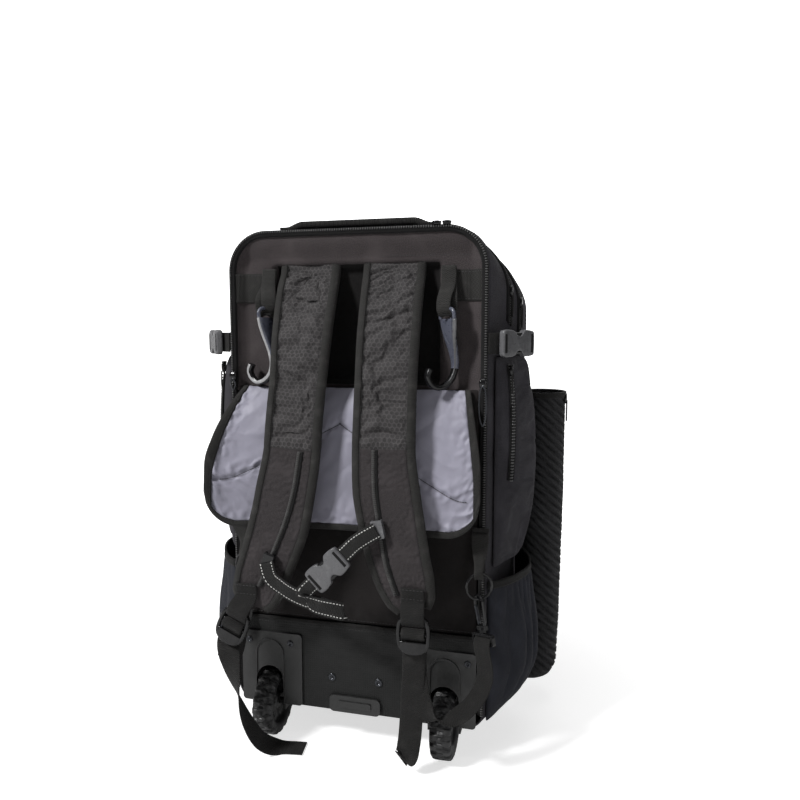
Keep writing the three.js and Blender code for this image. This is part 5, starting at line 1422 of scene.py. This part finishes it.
def make_hook(side):
    """Moulded J hook whose shield has a slot for its webbing and a hollow face; a pale rim along its edge is
    a painted highlight, and its J is painted black as painted shade.
    """
    look = HOOKS[side]

    def hung(points):
        return turned(points, 2, look["turn"]) + (look["x"], HOOK_Y, look["top"])

    path = curve([(0, row["lean"], row["z"]) for row in HOOK_ROWS], HOOK_STEPS)
    width, thick = (along_rows(HOOK_ROWS, key, HOOK_STEPS) for key in ("wide", "thick"))
    across = turned(X_AXIS, 2, look["turn"])
    hook = sweep(f"fence_hook_{side}", hung(path), across, width, thick, "hook", SQUARED)
    # The J, below the shield, takes the glossy black paint: painted shade.
    second_paint(hook, "gloss", np.arange(len(hook.data.polygons)) // len(SQUARED) >= HOOK_PAINTED_SHADE_FROM)
    rim = path + xyz(width / 2 - HOOK_HIGHLIGHT_RIM["inset"], -HOOK_HIGHLIGHT_RIM["out"] * thick, 0)
    wide = look["thick"] + look["shield"] * smoothstep(path[:, 2], *HOOK_HIGHLIGHT_RIM["shield"])
    rim, wide, deep = (values[:look["steps"]] for values in (hung(rim), wide, HOOK_HIGHLIGHT_RIM["thick"] * thick))
    # Pale tube along the hook's edge: a painted highlight.
    sweep(f"fence_hook_rim_{side}", rim, across, wide, deep, look["rim"], ROUND)
    half, low, high = HOOK_SLOT["wide"] / 2, HOOK_SLOT["low"], HOOK_SLOT["high"]
    corner = HOOK_SLOT["corner"]
    bar = [(-half, 0.8, low), (-half, 0, high - corner), (-half + corner, 0, high)]
    bar += [(-x, y, z) for x, y, z in bar[::-1]]
    tube(f"fence_hook_bar_{side}", hung(curve(bar, 60)), HOOK_SLOT["wire"], "hook")
    hollow = [(x, column(HOOK_ROWS, "lean", "z", z) - 2.6, z) for x, z in HOOK_HOLLOW]
    tube(f"fence_hook_shield_{side}", hung(curve(hollow, 50)), 1.5, "hook")


def make_hook_webbing(side):
    """Webbing that a hook hangs on, and the band that it is sewn to."""
    look = HOOKS[side]
    turn = look["turn"] + (180 if look["turn"] < -90 else 0)
    x, bar = look["x"], np.array((look["x"], HOOK_Y, look["top"]))
    loop = [turned((0, y, z), 2, turn) + bar for y, z in HOOK_LOOP]
    before, after = ([(x, y, z) for y, z in sewn] for sewn in HOOK_SEWN)
    points = [*before, *loop, *after]
    loop_band(f"hook_webbing_{side}", points, 0.35 * turn, WEBBING["hook"], WEBBING["hook"])
    # Near-black strip in the hook's slot: the webbing in it and painted shade.
    lip = xyz(np.linspace(-HOOK_LIP["half"], HOOK_LIP["half"], 12), -HOOK_LIP["out"], -HOOK_LIP["below"])
    sweep(f"hook_slot_{side}", bar + lip, Z_AXIS, HOOK_LIP["wide"], HOOK_LIP["thick"], "lip")
    x = np.linspace(RECESS["half"] + 6.0, BODY[0]["half"] - 4.0, 40)
    rise = wall_rise(0.5 + 0.5 * x / (BODY[0]["half"] - 1.5), BAND_SHARE)
    line = mirrored(xyz(x, RECESS["wall"] - 0.9 - rise, HOOK_BAND["z"]), side)
    sweep(f"hook_band_{side}", line, Z_AXIS, HOOK_BAND["wide"], HOOK_BAND["thick"], "binding")
    for offset in (-HOOK_BAND["seam"], HOOK_BAND["seam"]):
        stitches(f"hook_band_stitches_{side}_{int(HOOK_BAND['z'] + offset)}", line + (0, -0.8, offset))


# Side pockets, bottle pockets, compression straps and bat sleeves

POCKET = {"rear": 16.0, "front": 128.0, "bottom": 246.0, "top": 504.0, "out": 25.0, "lift": 1.2, "wall": 2.2}
POCKET_ZIP = {"from": 0.08, "to": 0.125, "low": 0.42, "high": 0.96, "middle": 0.11, "half": 0.07,
              "wide": 9.0, "thick": 1.4, "steps": 70}
POCKET_TEETH = {"pitch": 3.6, "length": 6.0, "thick": 2.3}
POCKET_CLOTH = {"wide": 125.0, "tall": 258.0, "sewn": 7.0, "pressure": 1.2, "growth": 0.05, "cap": 5.0}
BOTTLE = {"rear": 7.0, "front": 131.0, "bottom": 52.0, "straight": 75.0, "hem_rear": 222.0,
          "hem_front": 230.0, "thick": 1.6}
BULGE = rows_of("share out", (0, 0), (0.12, 24), (0.35, 41), (0.6, 38), (0.85, 29), (1, 25))
PLEATS = {"count": 13, "deep": 9.0, "fine": 3.4, "lift": 0.5, "wide": 0.04}
FOLDS = (0.14, 0.3, 0.47, 0.62, 0.82)
HEM = {"height": 10.0, "gap": -0.6, "thick": 3.0, "out": 1.5}
COMPRESSION = {"z": 521.0, "wide": 25.0}
COMPRESSION_PATH = [(166.4, -1), (180, 9), (205, 39), (208, 54), (207, 82), (203.6, 130), (199.9, 172)]
SLEEVE = {"y": 174.0, "inner": 190.5, "wall": 1.8, "rib": 12.0, "turns": 13, "groove": 4.4, "crown": 0.35,
          "uneven": 0.5, "bend": 60.0, "hem": 7.0, "hem_thick": 2.6, "hem_share": 0.98}
# How far the rim's slider is from the rim's outer end, towards the strap side and down
SLEEVE_SLIDER = (0.0, 8.0, 9.0)
# Where the ribs fade out near the bottom, the hem and the body, and how square a groove is
SLEEVE_FADE = {"low": (44, 62), "high": (449, 443), "inner": (-0.97, -0.6), "groove": (0.3, 0.98)}
SLEEVE_ROWS = rows_of(
    "z rx ry",
    (452, 31.5, 37.5), (300, 31.5, 37), (120, 30, 35.5), (60, 29, 34), (43, 24, 28), (38, 15, 18),
)
SIDE_STEPS = np.linspace(2, 4, 120)


def side_at(y, z):
    """How far the body's side stands out at depths and heights."""
    y, z = np.broadcast_arrays(np.asarray(y, float), np.asarray(z, float))
    found = np.empty(y.size)
    for i, (depth, height) in enumerate(zip(y.ravel(), z.ravel())):
        line = outline(BODY, depth, SIDE_STEPS)
        found[i] = np.interp(height, line[:, 2], line[:, 0])
    return found.reshape(y.shape)


def sided(points, side):
    """Rows of points made for the right side, on either side with the same face outwards."""
    return points if side == "right" else mirrored(points, side)[:, ::-1]


def pocket_surface(u, v):
    y = POCKET["rear"] + (POCKET["front"] - POCKET["rear"]) * u
    z = POCKET["bottom"] + (POCKET["top"] - POCKET["bottom"]) * v
    out = POCKET["lift"] + POCKET["out"] * pulse(u**0.75, 0.7) * pulse(v, 0.45)
    return xyz(side_at(y, z) + out, y, z)


def bottle_surface(u, v):
    """Gathered pouch: fine gathers under its hem run into a few long soft folds."""
    y = BOTTLE["rear"] + (BOTTLE["front"] - BOTTLE["rear"]) * u
    top = BOTTLE["hem_rear"] + (BOTTLE["hem_front"] - BOTTLE["hem_rear"]) * u
    z = BOTTLE["bottom"] + (top - BOTTLE["bottom"]) * v
    wander = u + 0.06 * noise(u * 3, v * 2.5, 31)
    folds = 0.4 * noise(wander * 6, v * 1.2, 34)
    for index, share in enumerate(FOLDS):
        deep = 0.75 + 0.6 * noise(v * 3, index * 1.7 + 0.5, 32)
        folds = folds - deep * np.exp(-np.abs((wander - share) / PLEATS["wide"]) ** 1.4)
    gathers = np.abs(np.cos(np.pi * PLEATS["count"] * wander)) - 0.5
    long_part = smoothstep(v, 0.02, 0.3) * smoothstep(v, 0.97, 0.7)
    short_part = smoothstep(v, 0.55, 0.9) * smoothstep(v, 1.0, 0.95)
    pleat = PLEATS["deep"] * folds * long_part + PLEATS["fine"] * gathers * short_part
    out = column(BULGE, "out", "share", v, 0.08) * pulse(u, 0.6) + pleat * pulse(u, 0.5)
    return xyz(side_at(y, np.maximum(z, BOTTLE["straight"])) + PLEATS["lift"] + out, y, z)


def make_side_pocket(side):
    u, v = shares(40, 72)
    points = pocket_surface(u, v)
    points = sided(points + grid_normals(points) * POCKET["wall"], side)
    pocket = grid(f"side_pocket_{side}", points, "side")
    zipped = (np.abs(u - POCKET_ZIP["middle"]) < POCKET_ZIP["half"]) & (v > POCKET_ZIP["low"] - 0.03)
    sewn = (from_edge(u, v, POCKET_CLOTH["wide"], POCKET_CLOTH["tall"]) < POCKET_CLOTH["sewn"]) | zipped
    sewn = sewn if side == "right" else sewn[:, ::-1]
    soften(pocket, sewn, *(POCKET_CLOTH[key] for key in ("pressure", "growth", "cap")), POCKET["wall"])
    v = np.linspace(POCKET_ZIP["low"], POCKET_ZIP["high"], POCKET_ZIP["steps"])
    u = np.linspace(POCKET_ZIP["from"], POCKET_ZIP["to"], POCKET_ZIP["steps"])
    line, coil = (on_surface(pocket_surface, u, v, POCKET["wall"] + lift) for lift in (1.6, 2.5))
    across = unit(pocket_surface(u + 0.02, v) - pocket_surface(u - 0.02, v))
    sweep(f"side_pocket_zip_{side}", mirrored(line, side), mirrored(across, side), POCKET_ZIP["wide"],
          POCKET_ZIP["thick"], "lip")
    middle = mirrored(across[POCKET_ZIP["steps"] // 2], side)
    zip_teeth(f"side_pocket_teeth_{side}", mirrored(coil, side), middle, **POCKET_TEETH)
    zip_slider(f"side_pocket_slider_{side}", mirrored(coil[-4] + (1.2, 0, 0), side), side)


def make_bottle_pocket(side):
    u, v = shares(130, 80)
    points = bottle_surface(u, v)
    points = sided(points + grid_normals(points) * BOTTLE["thick"], side)
    pouch = grid(f"bottle_pocket_{side}", points, "stretch", BOTTLE["thick"])
    outward = normals(bottle_surface, u[0], np.full(130, 0.996))
    outward[:, 2] = 0
    outward = unit(outward)
    rim = bottle_surface(u[0], np.ones(130)) + outward * HEM["out"] + (0, 0, HEM["gap"] + HEM["height"] / 2)
    hem = sweep(f"bottle_hem_{side}", mirrored(rim, side), Z_AXIS, HEM["height"], HEM["thick"], "tape")
    stitches(f"bottle_stitches_{side}", mirrored(rim + outward * 1.6 - (0, 0, 3.6), side))


def make_compression(side):
    points = [mirrored((x, y, COMPRESSION["z"]), side) for x, y in COMPRESSION_PATH]
    band(f"compression_webbing_{side}", points, lambda t: Z_AXIS, COMPRESSION["wide"])


def make_sleeve(side):
    """Knitted tube with slanting ribs, open at the top, with a zip pull at its rim."""
    top, bottom = SLEEVE_ROWS[0], SLEEVE_ROWS[-1]
    straight, bent = np.linspace(top["z"], SLEEVE["bend"], 260), np.linspace(SLEEVE["bend"], bottom["z"], 14)
    heights = np.concatenate([straight, bent[1:]])[:, None]
    turn = circle(96)[None, :] + np.pi
    rx, ry = (column(SLEEVE_ROWS, key, "z", heights, 4.0) for key in ("rx", "ry"))
    rib = np.cos(2 * np.pi * heights / SLEEVE["rib"] + SLEEVE["turns"] * turn)
    fade = smoothstep(heights, *SLEEVE_FADE["low"]) * smoothstep(heights, *SLEEVE_FADE["high"])
    fade = fade * smoothstep(np.cos(turn), *SLEEVE_FADE["inner"])
    groove = SLEEVE["groove"] * smoothstep(rib, *SLEEVE_FADE["groove"]) + SLEEVE["crown"] * (1 - rib)
    sink = fade * (groove + SLEEVE["uneven"] * noise(34 * turn / 26, heights / 40, 41))
    x = SLEEVE["inner"] + rx + (rx - sink) * np.cos(turn)
    points = xyz(x, SLEEVE["y"] + (ry - sink) * np.sin(turn), heights)
    centre = points[-1].mean(axis=0)
    points = np.vstack([points, [centre + (points[-1] - centre) * 0.02]])
    grid(f"bat_sleeve_{side}", sided(points[:, ::-1], side), "sleeve", SLEEVE["wall"], True)
    share = SLEEVE["hem_share"]
    rim = xyz(SLEEVE["inner"] + top["rx"] * (1 + share * np.cos(turn[0])),
              SLEEVE["y"] + share * top["ry"] * np.sin(turn[0]), top["z"] - SLEEVE["hem"] / 2)
    sweep(f"sleeve_hem_{side}", mirrored(rim, side), Z_AXIS, SLEEVE["hem"], SLEEVE["hem_thick"], "tape",
          loop=True)
    outer = np.array((SLEEVE["inner"] + 2 * top["rx"], SLEEVE["y"], top["z"]))
    zip_slider(f"sleeve_slider_{side}", mirrored(outer - SLEEVE_SLIDER, side), side)


# Hard pieces kept from the solids, wheels and screws

KEPT = {
    "base_cover": "base", "side_ring": "gloss", "snap_hook": "gloss", "snap_gate": "metal",
    "sternum_slider_right": "grey", "sternum_slider_left": "gloss", "wheel_housing": "moulded",
    "base_handle": "moulded", "front_skid": "moulded",
}
BEVEL = {"limit_method": "ANGLE", "angle_limit": math.radians(32), "width": 1.1 * MM, "segments": 2}
# Tread: where its shoulder and middle band begin, and how sharp the edges of its blocks are
TREAD = {"blocks": 18, "groove": 3.6, "middle": 0.6, "shoulder": (3.0, 5.0), "rim": (37.5, 40.0),
         "band": (4.2, 3.2), "bars": (0.75, 0.95), "edge": (0.15, -0.15)}
# Half sections of the tyre and the hub: out from the wheel's middle, and radius
TYRE = np.array([
    (9.5, 27.5), (11.8, 29.0), (13.0, 33.0), (13.4, 37.0), (12.6, 40.4), (10.8, 42.4), (8.0, 43.0),
    (4.6, 43.0), (3.6, 43.0), (1.2, 43.0), (0.0, 43.0),
])
HUB = np.array([
    (9.0, 4.7), (9.0, 8.6), (7.6, 10.2), (5.4, 12.0), (5.2, 19.0), (5.4, 25.0), (7.4, 26.6), (9.4, 28.2),
])
SPOKES = {"count": 6, "rise": 2.6, "edge": (-0.2, 0.5), "hub": (11, 14), "rim": (26, 23.5)}
# Section of a screw's head with its socket, as shares of the radius and depths
SCREW_RINGS = [(0.03, -0.4), (0.4, -0.4), (0.44, -1.5), (0.7, -1.6), (0.9, -1.3), (1.0, -0.6), (1.0, 0.6)]
SCREWS = {"radius": 4.3, "x": (88.0, 146.0), "y": -4.9, "z": 128.0}
RIVET = {"radius": 5.2, "x": 31.5, "y": -2.2, "z": 88.0}


def keep_nodes():
    """Finishes the hard solids: rounded edges and their own material."""
    for name, node in NODES.items():
        paint = next((paint for start, paint in KEPT.items() if name.startswith(start)), None)
        if paint is None:
            continue
        node.data.materials.clear()
        node.data.materials.append(PAINTS[paint])
        node.modifiers.new("weld", "WELD").merge_threshold = 0.02 * MM
        bevel = node.modifiers.new("edges", "BEVEL")
        for key, value in BEVEL.items():
            setattr(bevel, key, value)


def make_wheel(side):
    """Tyre with a blocked tread, and a spoked hub, both turning with the wheel."""
    def round_axle(out, radius, turn):
        x = SIDES[side] * AXLE["x"] + out
        return xyz(x, AXLE["y"] + radius * np.cos(turn), AXLE["z"] + radius * np.sin(turn))

    profile = np.vstack([TYRE, (TYRE * (-1, 1))[::-1][1:]])
    t, out = np.meshgrid(circle(324), profile[:, 0])
    radius = np.broadcast_to(profile[:, 1:], t.shape)
    block = np.sin(TREAD["blocks"] * t + np.where(out > 0, 0.0, np.pi))
    shoulder = smoothstep(np.abs(out), *TREAD["shoulder"]) * smoothstep(radius, *TREAD["rim"])
    middle = TREAD["middle"] * smoothstep(np.abs(out), *TREAD["band"])
    middle = middle * smoothstep(np.abs(block), *TREAD["bars"])
    depth = TREAD["groove"] * (shoulder * smoothstep(block, *TREAD["edge"]) + middle)
    tyre = round_axle(out, radius - depth, t)
    grid(f"tyre_{side}", tyre[::-1], "tyre", 0.0, True, stands_for=f"wheel_{side}", body=f"wheel_{side}")
    t, out = np.meshgrid(circle(324), HUB[:, 0])
    radius = np.broadcast_to(HUB[:, 1:], t.shape)
    spoke = smoothstep(np.cos(SPOKES["count"] * t), *SPOKES["edge"])
    spoke = spoke * smoothstep(radius, *SPOKES["hub"]) * smoothstep(radius, *SPOKES["rim"])
    for face, way in (("outer", 1), ("inner", -1)):
        hub = round_axle(way * (out + SPOKES["rise"] * spoke), radius, t)
        grid(f"hub_{side}_{face}", hub[::-way], "moulded", 0.0, True, body=f"wheel_{side}")


def screw(name, x, y, z, radius):
    """Round-headed screw with a round socket, facing the strap side."""
    turn = circle(24)
    rings = [xyz(x + radius * share * np.cos(turn), y + depth, z + radius * share * np.sin(turn))
             for share, depth in SCREW_RINGS]
    grid(name, np.stack(rings), "metal", 0.0, True)


def make_screws(side):
    sign = SIDES[side]
    for x in SCREWS["x"]:
        screw(f"housing_screw_{side}_{int(x)}", sign * x, SCREWS["y"], SCREWS["z"], SCREWS["radius"])
    screw(f"base_rivet_{side}", sign * RIVET["x"], RIVET["y"], RIVET["z"], RIVET["radius"])


def make_all():
    for make_piece in (make_shells, make_edge_zip, make_top_zips, make_panels, make_haul_handle, make_flap,
                       make_bay_pulls, make_buckles):
        make_piece()
    for side in SIDES:
        for make_piece in (make_strap, make_lock, make_lock_tab, make_strap_webbing, make_ring_tab,
                           make_sternum_webbing, make_hook, make_hook_webbing, make_side_pocket,
                           make_bottle_pocket, make_compression, make_sleeve, make_wheel, make_screws):
            make_piece(side)
    keep_nodes()


make_all()
simulate()
set_camera()
set_lights()
set_studio()
set_floor()
